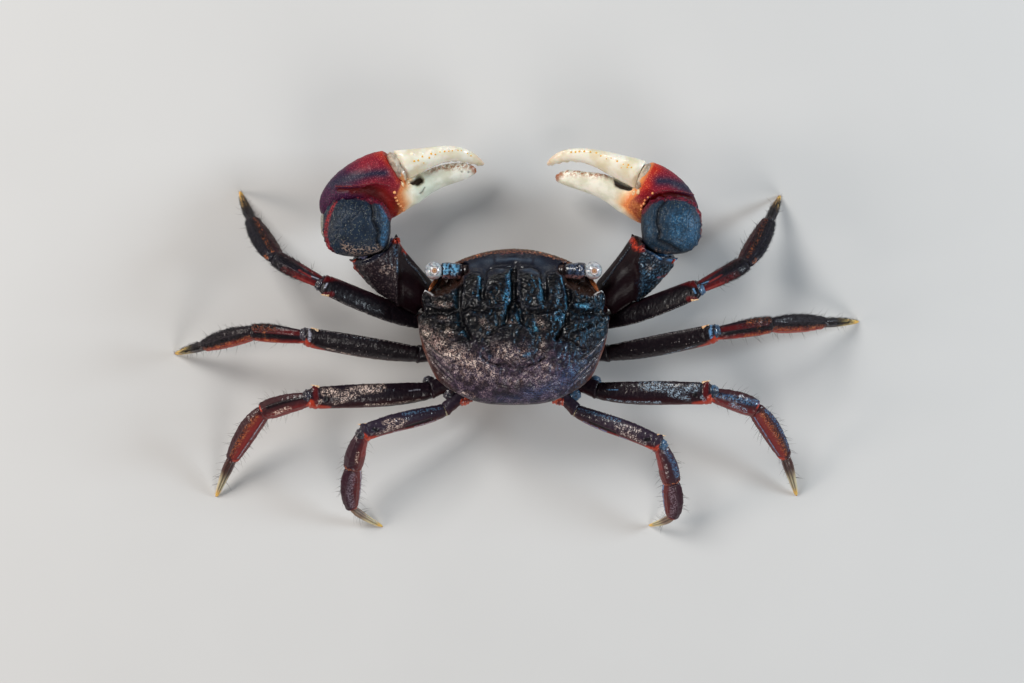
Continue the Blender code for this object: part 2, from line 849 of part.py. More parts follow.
def trunk_rings(grow=0.0):
    rings = []
    for half_width, front, rear, height in TRUNK_RINGS_MM:
        centre = Vector((0, (front + rear) / 2, height)) * MM
        across = Vector((half_width * MM + grow, 0, 0))
        over = Vector((0, (front - rear) / 2 * MM + grow, 0))
        rings.append(ring(centre, across, over, round_profile(32, TRUNK_SQUARENESS)))
    return rings


def make_trunk():
    trunk = new_object("sternum", loft(trunk_rings()), "underside")
    taller = trunk_rings(GAP)
    taller[0] = [point - UP * GAP for point in taller[0]]
    taller[-1] = [point + UP * GAP for point in taller[-1]]
    return trunk, cutter_object("trunk_room", loft(taller))


def make_tail_flap():
    """The abdomen, folded down behind the trunk and forwards under it."""
    rings = []
    rows = [(Vector((0, y, z)) * MM, half * MM) for y, z, half in TAIL_FLAP_MM]
    for index, (centre, half) in enumerate(rows):
        before = rows[max(index - 1, 0)][0]
        after = rows[min(index + 1, len(rows) - 1)][0]
        way = (after - before).normalized()
        across = Vector((1, 0, 0))
        over = way.cross(across).normalized() * TAIL_FLAP_THICKNESS / 2
        rings.append(ring(centre, across * half, over, round_profile(14, PLATE_SQUARENESS)))
    return new_object("abdomen_flap", loft(rings), "underside")


def make_mouthparts(trunk_room):
    """Two plates side by side close the mouth, joined on a thin backing."""
    slope = (MOUTH_BOTTOM - MOUTH_TOP).normalized()
    outward = Vector((1, 0, 0)).cross(slope).normalized()
    if outward.y < 0:
        outward = -outward
    height = (MOUTH_BOTTOM - MOUTH_TOP).length
    plates = []
    for side in (1, -1):
        rings = []
        for share, half in MOUTH_PLATE:
            middle = MOUTH_TOP + slope * height * share + outward * MOUTH_PLATE_HALF_DEPTH
            middle.x = side * MOUTH_HALF_WIDTH / 2
            across = Vector((MOUTH_HALF_WIDTH * half, 0, 0))
            over = outward * MOUTH_PLATE_HALF_DEPTH
            rings.append(ring(middle, across, over, round_profile(10, PLATE_SQUARENESS)))
        plates.append(new_object("plate", loft(rings), None))
    backing_rings = []
    for share, half in MOUTH_BACKING:
        middle = MOUTH_TOP + slope * height * share
        across = Vector((MOUTH_HALF_WIDTH * half, 0, 0))
        over = outward * MOUTH_BACKING_HALF_DEPTH
        backing_rings.append(ring(middle, across, over, round_profile(12, PLATE_SQUARENESS)))
    mouth = new_object("mouthparts", loft(backing_rings), "underside")
    fuse(mouth, plates)
    cut(mouth, [trunk_room])
    return mouth


def make_antennae(carapace_room):
    for letter, side in (("r", 1), ("l", -1)):
        rings = []
        centres = [Vector((x * side, y, z)) * MM for x, y, z, _ in ANTENNA_MM]
        for index, (centre, row) in enumerate(zip(centres, ANTENNA_MM)):
            before = centres[max(index - 1, 0)]
            after = centres[min(index + 1, len(centres) - 1)]
            way = (after - before).normalized()
            over = (UP - way * UP.dot(way)).normalized()
            across = way.cross(over)
            rings.append(ring(centre, across * row[3] * MM, over * row[3] * MM, round_profile(8)))
        antenna = new_object(f"antenna_{letter}", loft(rings), "shell")
        cut(antenna, [carapace_room])


# Walking legs


def directions(points):
    """The direction through each joint, halfway between the segments that meet there."""
    ways = []
    for index in range(len(points)):
        before = points[max(index - 1, 0)]
        here = points[index]
        after = points[min(index + 1, len(points) - 1)]
        way = Vector()
        if (here - before).length > 0:
            way += (here - before).normalized()
        if (after - here).length > 0:
            way += (after - here).normalized()
        ways.append(way.normalized())
    return ways


def crest_way(start, end, lean_degrees, side):
    """The direction of a leg's crest, leaned from upright towards the leg's front edge."""
    heading = end - start
    heading.z = 0
    heading.normalize()
    forward = Vector((-heading.y, heading.x, 0)) * side
    lean = math.radians(lean_degrees)
    return UP * math.cos(lean) + forward * math.sin(lean)


def make_leg(key, body_rooms):
    side = 1 if key[0] == "r" else -1
    rows = LEG_JOINTS_MM[key]
    tip = Vector((*rows[-1], -TIP_DEPTH))
    joints = [Vector(row) * MM for row in rows[:-1]] + [tip * MM]
    ways = directions(joints)
    ways[-1] = (ways[-1] - UP * 0.5).normalized()
    sizes = [(breadth * MM, thickness * MM) for breadth, thickness in LEG_SIZES_MM[key[1]]]
    merus_lean, lean = LEG_LEAN[key[1]]
    base_size = (sizes[0][0] * BASE_SCALE[0], sizes[0][1] * BASE_SCALE[1])
    plan = (
        ("base", 0, base_size, BASE_SHAPE, merus_lean, 10),
        ("merus", 1, sizes[0], MERUS_SHAPE, merus_lean, 10),
        ("carpus", 2, sizes[1], CARPUS_SHAPE, lean, 8),
        ("propodus", 3, sizes[2], PROPODUS_SHAPE, lean, 8),
        ("dactylus", 4, sizes[3], DACTYL_SHAPE, lean, 8),
    )
    for name, index, size, shape, leaned, sides in plan:
        ends = (joints[index], joints[index + 1])
        crest = crest_way(ends[0], ends[1], leaned, side)
        rings = limb_rings(ends, (ways[index], ways[index + 1]), crest, size, shape, crest_profile(sides))
        finish = "leg_tip" if name == "dactylus" else "leg"
        segment = new_object(f"leg_{key}_{name}", loft(rings), finish)
        if name == "base":
            cut(segment, body_rooms)
        if name == "merus":
            point, tangent = curve_point(ends[0], ends[1], ways[index], ways[index + 1], SPINE_PLACE)
            over = (crest - tangent * crest.dot(tangent)).normalized()
            spine = cone_on(
                point + over * size[0] * SPINE_ROOT,
                (over + tangent * SPINE_FORWARD).normalized(),
                SPINE_RADIUS,
                SPINE_LENGTH,
            )
            fuse(segment, [spine])
            cut(segment, body_rooms)
        if name == "dactylus":
            flatten_tip(segment)


def flatten_tip(segment):
    """Cuts the tip off level with the floor, so that the leg stands on a small flat."""
    builder = bmesh.new()
    builder.from_mesh(segment.data)
    everything = list(builder.verts) + list(builder.edges) + list(builder.faces)
    bmesh.ops.bisect_plane(
        builder, geom=everything, plane_co=(0, 0, 0), plane_no=(0, 0, -1), clear_outer=True
    )
    rim = [edge for edge in builder.edges if edge.is_boundary]
    bmesh.ops.edgeloop_fill(builder, edges=rim)
    bmesh.ops.recalc_face_normals(builder, faces=builder.faces)
    builder.to_mesh(segment.data)
    builder.free()


# Claws


class ClawPlane:
    """The plane in which a claw opens: along it from palm to finger tips, and up it."""

    def __init__(self, key):
        self.side = 1 if key == "l" else -1
        self.values = CLAW_MM[key]
        heading = math.radians(self.values["heading"])
        lean = math.radians(CLAW_LEAN)
        self.origin = Vector(self.values["fork"]) * MM
        self.along = Vector((math.cos(heading) * self.side, math.sin(heading), 0))
        ahead = Vector((-math.sin(heading) * self.side, math.cos(heading), 0))
        self.up = ahead * math.cos(lean) + UP * math.sin(lean)
        self.face = ahead * -math.sin(lean) + UP * math.cos(lean)

    def point(self, along, up):
        return self.origin + self.along * along * MM + self.up * up * MM

    def rings(self, rows, fatness, profile, grow=0.0):
        centres = [self.point(along, up) for along, up, _ in rows]
        rings = []
        for index, (centre, row) in enumerate(zip(centres, rows)):
            before = centres[max(index - 1, 0)]
            after = centres[min(index + 1, len(centres) - 1)]
            way = (after - before).normalized()
            over = self.face.cross(way).normalized()
            if over.dot(self.up) < 0:
                over = -over
            half = row[2] * MM + grow
            thick = row[2] * MM * fatness + grow
            rings.append(ring(centre, self.face * thick, over * half, profile))
        return rings


def palm_profile(sides):
    """The palm's section, with the hollow that runs beside its granular ridge."""
    points = []
    for k, (u, v) in enumerate(round_profile(sides)):
        turn = (360 * k / sides + 180) % 360 - 180
        away = (abs(turn) - HOLLOW_TURN) / HOLLOW_SPREAD if turn < 0 else math.inf
        reach = 1 - HOLLOW_DEPTH * math.exp(-away * away)
        points.append((u * reach, v * reach))
    return points


def palm_rings(plane, grow=0.0):
    """Rings of the palm, its shoulder under the movable finger, and the fixed finger."""
    values = plane.values
    before_fork = plane.rings(values["palm"], PALM_FATNESS, palm_profile(PALM_SIDES), grow)
    tilt = (plane.along + plane.up * SHOULDER_TILT).normalized()
    over = plane.face.cross(tilt).normalized()
    if over.dot(plane.up) < 0:
        over = -over
    shoulder_along, shoulder_up, shoulder_half = values["shoulder"]
    centre = plane.point(shoulder_along, shoulder_up) + plane.along * grow
    half = shoulder_half * MM
    thick = half * SHOULDER_FATNESS + grow
    rim = ring(centre, plane.face * thick, over * (half + grow), round_profile(PALM_SIDES))
    fixed = plane.rings(values["fixed"], FINGER_FATNESS, round_profile(PALM_SIDES), grow)
    before_fork[0] = [point - plane.along * grow for point in before_fork[0]]
    fixed[-1] = [point + plane.along * grow for point in fixed[-1]]
    return before_fork + [rim] + fixed


def make_claw(letter, body_rooms):
    plane = ClawPlane(letter)
    values = plane.values
    side = -1 if letter == "l" else 1
    palm = new_object(f"claw_{letter}_palm", loft(palm_rings(plane)), "claw")
    fuse(palm, finger_teeth(plane, "fixed", 1) + palm_beads(plane))
    palm_room = cutter_object(f"palm_room_{letter}", loft(palm_rings(plane, GAP)))
    dactyl = new_object(
        f"claw_{letter}_finger",
        loft(plane.rings(values["dactyl"], FINGER_FATNESS, round_profile(14))),
        "claw_finger",
    )
    fuse(dactyl, finger_teeth(plane, "dactyl", -1) + finger_beads(plane))
    cut(dactyl, [palm_room])
    carpus = make_claw_carpus(letter, values)
    cut(carpus, [palm_room])
    carpus_room = cutter_object(f"carpus_room_{letter}", carpus_mesh(values, GAP))
    wrist = Vector(values["wrist"]) * MM
    elbow = Vector(values["elbow"]) * MM
    coxa = Vector(CLAW_COXA_MM) * MM
    coxa.x *= side
    arm_way = (elbow - wrist).normalized()
    elbow_way = flipped(CLAW_ELBOW_WAY, side).normalized()
    base_way = (arm_way + (wrist - coxa).normalized()).normalized()
    merus_sizes = (CLAW_MERUS_HALF_HEIGHT, CLAW_MERUS_HALF_BREADTH)
    rings = limb_rings(
        (wrist, elbow), (base_way, elbow_way), UP, merus_sizes, CLAW_MERUS_SHAPE, three_sided_profile(12)
    )
    merus = new_object(f"claw_{letter}_merus", loft(rings), "claw_arm")
    fuse(merus, merus_teeth(elbow, elbow_way))
    leg_rooms = [
        grown_copy(bpy.data.objects[f"leg_{letter}1_{part}"], GAP, f"{part}_room_{letter}")
        for part in ("base", "merus")
    ]
    cut(merus, [carpus_room, palm_room] + body_rooms + leg_rooms)
    rings = limb_rings(
        (coxa, wrist), (base_way, base_way), UP, CLAW_BASE_HALF_SIZES, BASE_SHAPE, round_profile(12)
    )
    base = new_object(f"claw_{letter}_base", loft(rings), "claw_arm")
    cut(base, body_rooms + leg_rooms)


def carpus_mesh(values, grow=0.0):
    """A rounded block: square-sided in plan, flat on top and drawn in below."""
    centre = Vector(values["carpus"]) * MM
    half = [size * MM + grow for size in values["carpus_size"]]
    builder = bmesh.new()
    bmesh.ops.create_uvsphere(builder, u_segments=20, v_segments=10, radius=1)
    power = 2 / CARPUS_SQUARENESS
    for vert in builder.verts:
        x, y, z = vert.co
        reach = math.hypot(x, y)
        if reach > 1e-6:
            cosine, sine = x / reach, y / reach
            reach **= CARPUS_TOP_POWER if z > 0 else CARPUS_UNDER_POWER
            x = math.copysign(abs(cosine) ** power, cosine) * reach
            y = math.copysign(abs(sine) ** power, sine) * reach
        vert.co = centre + Vector((x * half[0], y * half[1], z * half[2]))
    return builder


def make_claw_carpus(letter, values):
    """The wrist block, with a row of low teeth along its outer and front margin."""
    carpus = new_object(f"claw_{letter}_carpus", carpus_mesh(values), "claw_arm")
    centre = Vector(values["carpus"]) * MM
    length, breadth, height = [size * MM for size in values["carpus_size"]]
    start, end = values["carpus_margin"]
    teeth = []
    for k in range(MARGIN_TEETH):
        turn = math.radians(start + (end - start) * k / (MARGIN_TEETH - 1))
        power = 2 / CARPUS_SQUARENESS
        x = math.copysign(abs(math.cos(turn)) ** power, math.cos(turn))
        y = math.copysign(abs(math.sin(turn)) ** power, math.sin(turn))
        root = centre + Vector((x * length, y * breadth, 0)) * MARGIN_INSET
        root.z = centre.z + height * MARGIN_HEIGHT
        teeth.append(bead_on(root, MARGIN_TOOTH_RADIUS))
    fuse(carpus, teeth)
    return carpus


def merus_teeth(elbow, way):
    """The pointed teeth at the far corners of the claw's arm."""
    across = way.cross(UP).normalized()
    over = across.cross(way)
    place = elbow - way * MERUS_TOOTH_BACK
    sideways, upwards, onwards = MERUS_TOOTH_WAY
    teeth = []
    for side in (1, -1):
        out = (across * side * sideways + over * upwards).normalized()
        root = place + out * CLAW_MERUS_HALF_BREADTH * MERUS_TOOTH_REACH
        aim = (out + way * onwards).normalized()
        teeth.append(cone_on(root, aim, MERUS_TOOTH_RADIUS, MERUS_TOOTH_LENGTH))
    return teeth


def edge_point(plane, rows, share, edge):
    """A point on the upper (1) or lower (-1) edge of a finger, share of the way along it."""
    place = share * (len(rows) - 1)
    index = min(int(place), len(rows) - 2)
    part = place - index
    along, up, half = [a + (b - a) * part for a, b in zip(rows[index], rows[index + 1])]
    way = (plane.point(*rows[index + 1][:2]) - plane.point(*rows[index][:2])).normalized()
    over = plane.face.cross(way).normalized()
    if over.dot(plane.up) < 0:
        over = -over
    return plane.point(along, up) + over * edge * half * MM, over * edge, half


def finger_teeth(plane, finger, edge):
    """The blunt teeth along a finger's cutting edge, larger in its middle."""
    teeth = []
    rows = plane.values[finger]
    for k in range(TEETH):
        root, way, _ = edge_point(plane, rows, TEETH_START + TEETH_STEP * k, edge)
        size = TOOTH_RADIUS_MM + TOOTH_GAIN_MM * math.sin(math.pi * (k + 1) / (TEETH + 1))
        length = plane.values["tooth"] * size * TOOTH_LENGTH * MM
        teeth.append(cone_on(root, way, size * MM, length, 6, TOOTH_BLUNTNESS))
    return teeth


def finger_beads(plane):
    """The row of small tubercles along the back of the movable finger."""
    beads = []
    rows = plane.values["dactyl"]
    for k in range(FINGER_BEADS):
        root, way, half = edge_point(plane, rows, FINGER_BEAD_START + FINGER_BEAD_STEP * k, 1)
        side = plane.face * half * FINGER_BEAD_OFFSET * MM
        beads.append(bead_on(root - way * FINGER_BEAD_SUNK + side, FINGER_BEAD_RADIUS))
    return beads


def palm_beads(plane):
    """The granular ridge that runs along the palm's inner face."""
    beads = []
    rows = plane.values["palm"]
    first, last = PALM_BEAD_ROWS
    turn = math.radians(PALM_BEAD_TURN)
    for k in range(PALM_BEADS):
        place = first + (last - first) * k / (PALM_BEADS - 1)
        index = min(int(place), len(rows) - 2)
        part = place - index
        along, up, half = [a + (b - a) * part for a, b in zip(rows[index], rows[index + 1])]
        root = plane.point(along, up)
        root += plane.up * half * math.cos(turn) * MM * PALM_BEAD_SUNK
        root += plane.face * half * PALM_FATNESS * math.sin(turn) * MM * PALM_BEAD_SUNK
        beads.append(bead_on(root, PALM_BEAD_RADIUS))
    return beads


def centre_on_origin():
    """Moves the whole crab in plan, so that the middle of its box stands over the origin."""
    bpy.context.view_layer.update()
    corners = [obj.matrix_world @ Vector(corner) for obj in CRAB.objects for corner in obj.bound_box]
    low = [min(corner[axis] for corner in corners) for axis in range(2)]
    high = [max(corner[axis] for corner in corners) for axis in range(2)]
    move = Vector((-(low[0] + high[0]) / 2, -(low[1] + high[1]) / 2, 0))
    for obj in CRAB.objects:
        obj.data.transform(Matrix.Translation(move))


def main():
    carapace = make_carapace()
    carapace_room = grown_copy(carapace, GAP, "carapace_room")
    make_eyes()
    trunk, trunk_room = make_trunk()
    make_tail_flap()
    make_mouthparts(trunk_room)
    make_antennae(carapace_room)
    body_rooms = [trunk_room, carapace_room]
    for key in LEG_JOINTS_MM:
        make_leg(key, body_rooms)
    for letter in CLAW_MM:
        make_claw(letter, body_rooms)
    centre_on_origin()


main()
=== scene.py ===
# %% [markdown]
# A mangrove crab, dressed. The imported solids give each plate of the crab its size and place. This
# notebook makes the fine surface over them: grooved shell, granular claws, toothed fingers, glossy
# legs, stalked eyes and the stiff hairs, each as a mesh with its own finish. First the solids are
# loaded and one point on the body is fixed, from which all places in millimetres are counted.

# %% Load the solids
import json
import math

import bpy
import numpy as np
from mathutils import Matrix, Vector

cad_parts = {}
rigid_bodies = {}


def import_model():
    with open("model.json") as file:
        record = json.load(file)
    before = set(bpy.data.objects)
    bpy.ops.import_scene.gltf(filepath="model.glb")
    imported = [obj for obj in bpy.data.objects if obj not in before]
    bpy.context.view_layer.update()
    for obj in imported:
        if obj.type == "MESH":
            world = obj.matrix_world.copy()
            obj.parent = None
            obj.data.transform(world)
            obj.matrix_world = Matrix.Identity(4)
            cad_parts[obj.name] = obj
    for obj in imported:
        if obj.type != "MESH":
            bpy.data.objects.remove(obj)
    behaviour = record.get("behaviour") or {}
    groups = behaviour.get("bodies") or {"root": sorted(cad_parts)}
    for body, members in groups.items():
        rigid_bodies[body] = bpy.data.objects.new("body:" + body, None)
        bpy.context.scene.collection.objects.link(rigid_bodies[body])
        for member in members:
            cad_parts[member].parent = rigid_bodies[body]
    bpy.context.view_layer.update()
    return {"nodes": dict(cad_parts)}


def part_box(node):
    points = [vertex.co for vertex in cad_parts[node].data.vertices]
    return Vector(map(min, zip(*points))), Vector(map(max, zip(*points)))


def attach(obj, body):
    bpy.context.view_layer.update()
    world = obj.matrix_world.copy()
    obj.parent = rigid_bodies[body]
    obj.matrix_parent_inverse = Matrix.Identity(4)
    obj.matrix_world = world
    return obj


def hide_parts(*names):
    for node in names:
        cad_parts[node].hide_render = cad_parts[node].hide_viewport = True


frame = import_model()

MM = 0.001
shell_low, shell_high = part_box("carapace")
FRONT_REACH = 16.2 * MM
BODY = np.array([(shell_low.x + shell_high.x) / 2, shell_high.y - FRONT_REACH, 0.0])
print("solids:", len(frame["nodes"]), "body point in mm:", np.round(BODY / MM, 2))

# %% [markdown]
# The crab was seen from straight above with a long lens. A camera 630 mm over the floor, with the
# top of the crab's head towards the upper edge of the picture, gives the same small perspective.
# The studio is a pale floor with soft lamps: a neutral one over the left front, a low bluish one on
# the right, whose glints add to the blue highlights painted on the wet shell, a low warm one on the
# left, and a weak one behind. The sky round them is kept dim, so that it lays no grey veil over the
# black shell.

# %% Camera, floor and lamps
CAMERA_HEIGHT = 630.3 * MM
CAMERA_OFFSET = np.array([-0.31, -3.08, 0]) * MM
LENS_MM = 105
FLOOR_WIDTH = 6.0
FLOOR_DROP = 0.03 * MM


def add_camera():
    data = bpy.data.cameras.new("camera_above")
    data.lens = LENS_MM
    data.clip_start = 0.01
    camera = bpy.data.objects.new("camera_above", data)
    bpy.context.scene.collection.objects.link(camera)
    camera.location = Vector(BODY + CAMERA_OFFSET) + Vector((0, 0, CAMERA_HEIGHT))
    bpy.context.scene.camera = camera


def add_lamp(name, place, width, power, colour):
    """A square soft lamp that faces the crab."""
    data = bpy.data.lights.new(name, "AREA")
    data.size = width
    data.energy = power
    data.color = colour
    lamp = bpy.data.objects.new(name, data)
    bpy.context.scene.collection.objects.link(lamp)
    lamp.location = place
    lamp.rotation_euler = (-Vector(place)).to_track_quat("-Z", "Y").to_euler()


add_camera()
add_lamp("lamp_front_left", (-0.38, 0.42, 0.56), 0.3, 4.2, (1.0, 0.98, 0.95))
add_lamp("lamp_right", (0.62, 0.12, 0.3), 0.2, 3.0, (0.8, 0.91, 1.0))
add_lamp("lamp_left", (-0.6, -0.06, 0.27), 0.2, 1.7, (1.0, 0.9, 0.82))
add_lamp("lamp_rear", (0.2, -0.55, 0.46), 0.34, 1.8, (1.0, 0.96, 0.92))
world = bpy.data.worlds.new("studio")
world.use_nodes = True
world.node_tree.nodes["Background"].inputs["Color"].default_value = (0.86, 0.9, 1.0, 1)
world.node_tree.nodes["Background"].inputs["Strength"].default_value = 0.11
bpy.context.scene.world = world
print("camera, four lamps and the studio are set")

# %% [markdown]
# A finish is a small network of shader nodes. Written as sums and products it reads like the idea
# behind it, so one class wraps a socket and lets plain arithmetic add the nodes, and a second one
# holds the material and makes any other node. Colours are given as seen on a screen, from 0 to 255.

# %% The finish kit
def paint(red, green, blue):
    """A screen colour as the linear colour that a shader takes."""
    shares = [channel / 255 for channel in (red, green, blue)]
    return tuple(s / 12.92 if s <= 0.04045 else ((s + 0.055) / 1.055) ** 2.4 for s in shares) + (1.0,)


class Value:
    """A socket that takes part in arithmetic."""

    def __init__(self, finish, socket):
        self.finish = finish
        self.socket = socket

    def math(self, operation, first, second):
        return self.finish.node("ShaderNodeMath", {"operation": operation}, {0: first, 1: second})

    def __add__(self, other):
        return self.math("ADD", self, other)

    def __sub__(self, other):
        return self.math("SUBTRACT", self, other)

    def __rsub__(self, other):
        return self.math("SUBTRACT", other, self)

    def __mul__(self, other):
        return self.math("MULTIPLY", self, other)

    __radd__ = __add__
    __rmul__ = __mul__

    def above(self, low, high):
        """Rises smoothly from 0 at low to 1 at high."""
        inputs = {"Value": self, "From Min": low, "From Max": high}
        return self.finish.node("ShaderNodeMapRange", {"interpolation_type": "SMOOTHSTEP"}, inputs)


class Finish:
    """One material and its nodes."""

    def __init__(self, name, roughness, coat=0.0, coat_roughness=0.1, bleed=0.0, bleed_reach=0.6,
                 gloss=0.45):
        self.material = bpy.data.materials.new(name)
        self.material.use_nodes = True
        self.tree = self.material.node_tree
        self.shader = self.tree.nodes["Principled BSDF"]
        self.shader.inputs["Roughness"].default_value = roughness
        self.shader.inputs["Specular IOR Level"].default_value = gloss
        self.shader.inputs["Coat Weight"].default_value = coat
        self.shader.inputs["Coat Roughness"].default_value = coat_roughness
        if bleed:
            self.shader.inputs["Subsurface Weight"].default_value = bleed
            self.shader.inputs["Subsurface Scale"].default_value = bleed_reach * MM
        self.place = self.node("ShaderNodeTexCoord", output="Object")
        self.base = None

    def node(self, kind, settings=None, inputs=None, output=0):
        """Makes a node: its settings first, then the values or links of its sockets."""
        made = self.tree.nodes.new(kind)
        for setting, value in (settings or {}).items():
            setattr(made, setting, value)
        for name, value in (inputs or {}).items():
            if isinstance(value, Value):
                self.tree.links.new(value.socket, made.inputs[name])
            else:
                made.inputs[name].default_value = value
        return Value(self, made.outputs[output])

    def noise(self, size, detail=3.0, roughness=0.55):
        """Soft noise from 0 to 1 with lumps of about this size in millimetres."""
        inputs = {"Vector": self.place, "Scale": 1 / (size * MM), "Detail": detail, "Roughness": roughness}
        return self.node("ShaderNodeTexNoise", inputs=inputs)

    def cells(self, size):
        """Distance from the middle of a cell of about this size: small beads once inverted."""
        return self.node("ShaderNodeTexVoronoi", inputs={"Vector": self.place, "Scale": 1 / (size * MM)})

    def sideways(self):
        """How far right of the middle a point lies, in metres."""
        return self.node("ShaderNodeSeparateXYZ", inputs={"Vector": self.place}, output="X")

    def mark(self, name):
        """A value painted on the mesh under this name."""
        return self.node("ShaderNodeAttribute", {"attribute_name": name}, output="Fac")

    def mix(self, under, over, share):
        """Lays one colour over another, as far as share says. Three plain numbers are paint."""
        under, over = (paint(*colour) if isinstance(colour, tuple) else colour for colour in (under, over))
        inputs = {0: share, 6: under, 7: over}
        return self.node("ShaderNodeMix", {"data_type": "RGBA"}, inputs, output=2)

    def lay(self, colour, share):
        """Lays one more colour over the base colour, as far as share says."""
        self.base = self.mix(self.base, colour, share)

    def bump(self, height, depth):
        """Raises the surface by height, from 0 to 1, times depth in millimetres."""
        inputs = {"Height": height, "Distance": depth * MM, "Strength": 1.0}
        self.set("Normal", self.node("ShaderNodeBump", inputs=inputs))

    def set(self, name, value):
        self.tree.links.new(value.socket, self.shader.inputs[name])

    def done(self):
        """Hands the base colour to the shader, and the material to the piece."""
        self.set("Base Color", self.base)
        return self.material


def plain_floor():
    finish = Finish("floor_paper", 0.9)
    finish.base = finish.mix((200, 200, 199), (207, 207, 206), finish.noise(50))
    return finish.done()


print("finish kit ready")

# %% [markdown]
# Every piece goes through the same few steps by hand: select it alone, run an operator or apply a
# modifier, hang it from the crab's body and hide the solid it stands for. These short functions hold
# those steps, with two that read and write a mesh's points at once, which is how relief is carved below.

# %% The modelling kit
MERGE_GAP = 0.004 * MM
SHARP_EDGE = math.radians(48)


def only(obj):
    """Selects one object alone and makes it the active one."""
    for other in list(bpy.context.selected_objects):
        other.select_set(False)
    obj.select_set(True)
    bpy.context.view_layer.objects.active = obj


def shaped_by(obj, kind, **settings):
    """Adds a modifier with these settings and applies it."""
    only(obj)
    modifier = obj.modifiers.new(kind.lower(), kind)
    for name, value in settings.items():
        setattr(modifier, name, value)
    bpy.ops.object.modifier_apply(modifier=modifier.name)


def in_edit_mode(obj, *steps):
    """Runs edit-mode operators on the whole of one mesh."""
    only(obj)
    bpy.ops.object.mode_set(mode="EDIT")
    bpy.ops.mesh.select_all(action="SELECT")
    for operator, settings in steps:
        operator(**settings)
    bpy.ops.object.mode_set(mode="OBJECT")


def points_of(obj):
    points = np.empty(len(obj.data.vertices) * 3)
    obj.data.vertices.foreach_get("co", points)
    return points.reshape(-1, 3)


def normals_of(obj):
    normals = np.empty(len(obj.data.vertices) * 3)
    obj.data.vertices.foreach_get("normal", normals)
    return normals.reshape(-1, 3)


def move_points(obj, points):
    obj.data.vertices.foreach_set("co", points.reshape(-1))
    obj.data.update()


def place_of(obj):
    """Each point's place in millimetres, counted from the body point."""
    return (points_of(obj) - BODY) / MM


def raise_points(obj, height):
    """Moves each point off the surface by its height in millimetres."""
    move_points(obj, points_of(obj) + normals_of(obj) * height[:, None] * MM)


def mark(obj, name, values):
    """Paints a value from 0 to 1 on each point, for the finish to read."""
    layer = obj.data.attributes.new(name, "FLOAT", "POINT")
    layer.data.foreach_set("value", np.clip(values, 0, 1).astype(np.float32))


def rising(values, low, high):
    share = np.clip((values - low) / (high - low), 0, 1)
    return share * share * (3 - 2 * share)


def bell(values, width):
    return np.exp(-((values / width) ** 2))


def away_from(points, line):
    """Distance of each plan point to a line through the given points."""
    nearest = np.full(len(points), np.inf)
    for start, end in zip(line, line[1:]):
        start, run = np.array(start, float), np.subtract(end, start)
        share = np.clip((points - start) @ run / (run @ run), 0, 1)
        nearest = np.minimum(nearest, np.linalg.norm(points - start - share[:, None] * run, axis=1))
    return nearest


def cloud(points, size, seed=0):
    """Smooth noise from -1 to 1 at each point, with lumps of about this size, alike on each run."""
    grid = points / size
    cell = np.floor(grid).astype(np.int64)
    part = grid - cell
    part = part * part * (3 - 2 * part)
    total = np.zeros(len(points))
    for corner in np.ndindex(2, 2, 2):
        x, y, z = (cell + corner).T
        mixed = (x * 73856093) ^ (y * 19349663) ^ (z * 83492791) ^ (seed * 40503 + 977)
        mixed = ((mixed ^ (mixed >> 13)) * 1274126177) & 0x7FFFFFFF
        value = (mixed >> 8 & 0xFFFF) / 32767.5 - 1
        total += value * np.prod(np.where(corner, part, 1 - part), axis=1)
    return total


def owned(obj, finish, slot, *nodes):
    """Gives a piece its finish and place in the frame, and lets none of it sink into the floor."""
    points = points_of(obj)
    points[:, 2] = np.maximum(points[:, 2], 0)
    move_points(obj, points)
    obj.data.materials.clear()
    obj.data.materials.append(finish)
    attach(obj, "root")
    if nodes:
        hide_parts(*nodes)
    return obj


def plate_from(node, cell, rounds, swell=0.0, crease=0.0):
    """A finer copy of a solid: merged, rounded, remeshed in even cells and smoothed.

    Cell and swell are in millimetres. A crease keeps the sharp edges, such as the ends of a limb,
    from being rounded away."""
    mesh = frame["nodes"][node].data.copy()
    mesh.materials.clear()
    obj = bpy.data.objects.new("crab_" + node, mesh)
    bpy.context.scene.collection.objects.link(obj)
    in_edit_mode(
        obj,
        (bpy.ops.mesh.remove_doubles, {"threshold": MERGE_GAP}),
        (bpy.ops.mesh.tris_convert_to_quads, {}),
    )
    if crease:
        in_edit_mode(
            obj,
            (bpy.ops.mesh.select_all, {"action": "DESELECT"}),
            (bpy.ops.mesh.edges_select_sharp, {"sharpness": SHARP_EDGE}),
            (bpy.ops.transform.edge_crease, {"value": crease}),
        )
    shaped_by(obj, "SUBSURF", levels=1, render_levels=1)
    shaped_by(obj, "REMESH", mode="VOXEL", voxel_size=cell * MM)
    shaped_by(obj, "SMOOTH", factor=0.5, iterations=rounds)
    if swell:
        move_points(obj, points_of(obj) + normals_of(obj) * (swell * MM))
    only(obj)
    bpy.ops.object.shade_smooth()
    return obj


bpy.ops.mesh.primitive_plane_add(size=FLOOR_WIDTH, location=(0, 0, -FLOOR_DROP))
floor = bpy.context.active_object
floor.name = "studio_floor"
in_edit_mode(floor, (bpy.ops.mesh.subdivide, {"number_cuts": 3}))
move_points(floor, points_of(floor) - (0, 0, FLOOR_DROP))
floor.location = (0, 0, 0)
floor.data.materials.append(plain_floor())
print("modelling kit ready, floor laid")

# %% [markdown]
# The carapace carries the crab's face to the world. Its back is cut by a deep groove down the
# middle, side grooves between four lobes behind the front, a humped middle field closed behind by
# a curved groove, and slanting lines on the flanks. The finer copy of the solid is smoothed and
# then carved: each groove is a line in millimetres with a depth and a width, and noise adds the
# worm-like wrinkles. The same numbers are painted on the points, so that colour follows form.

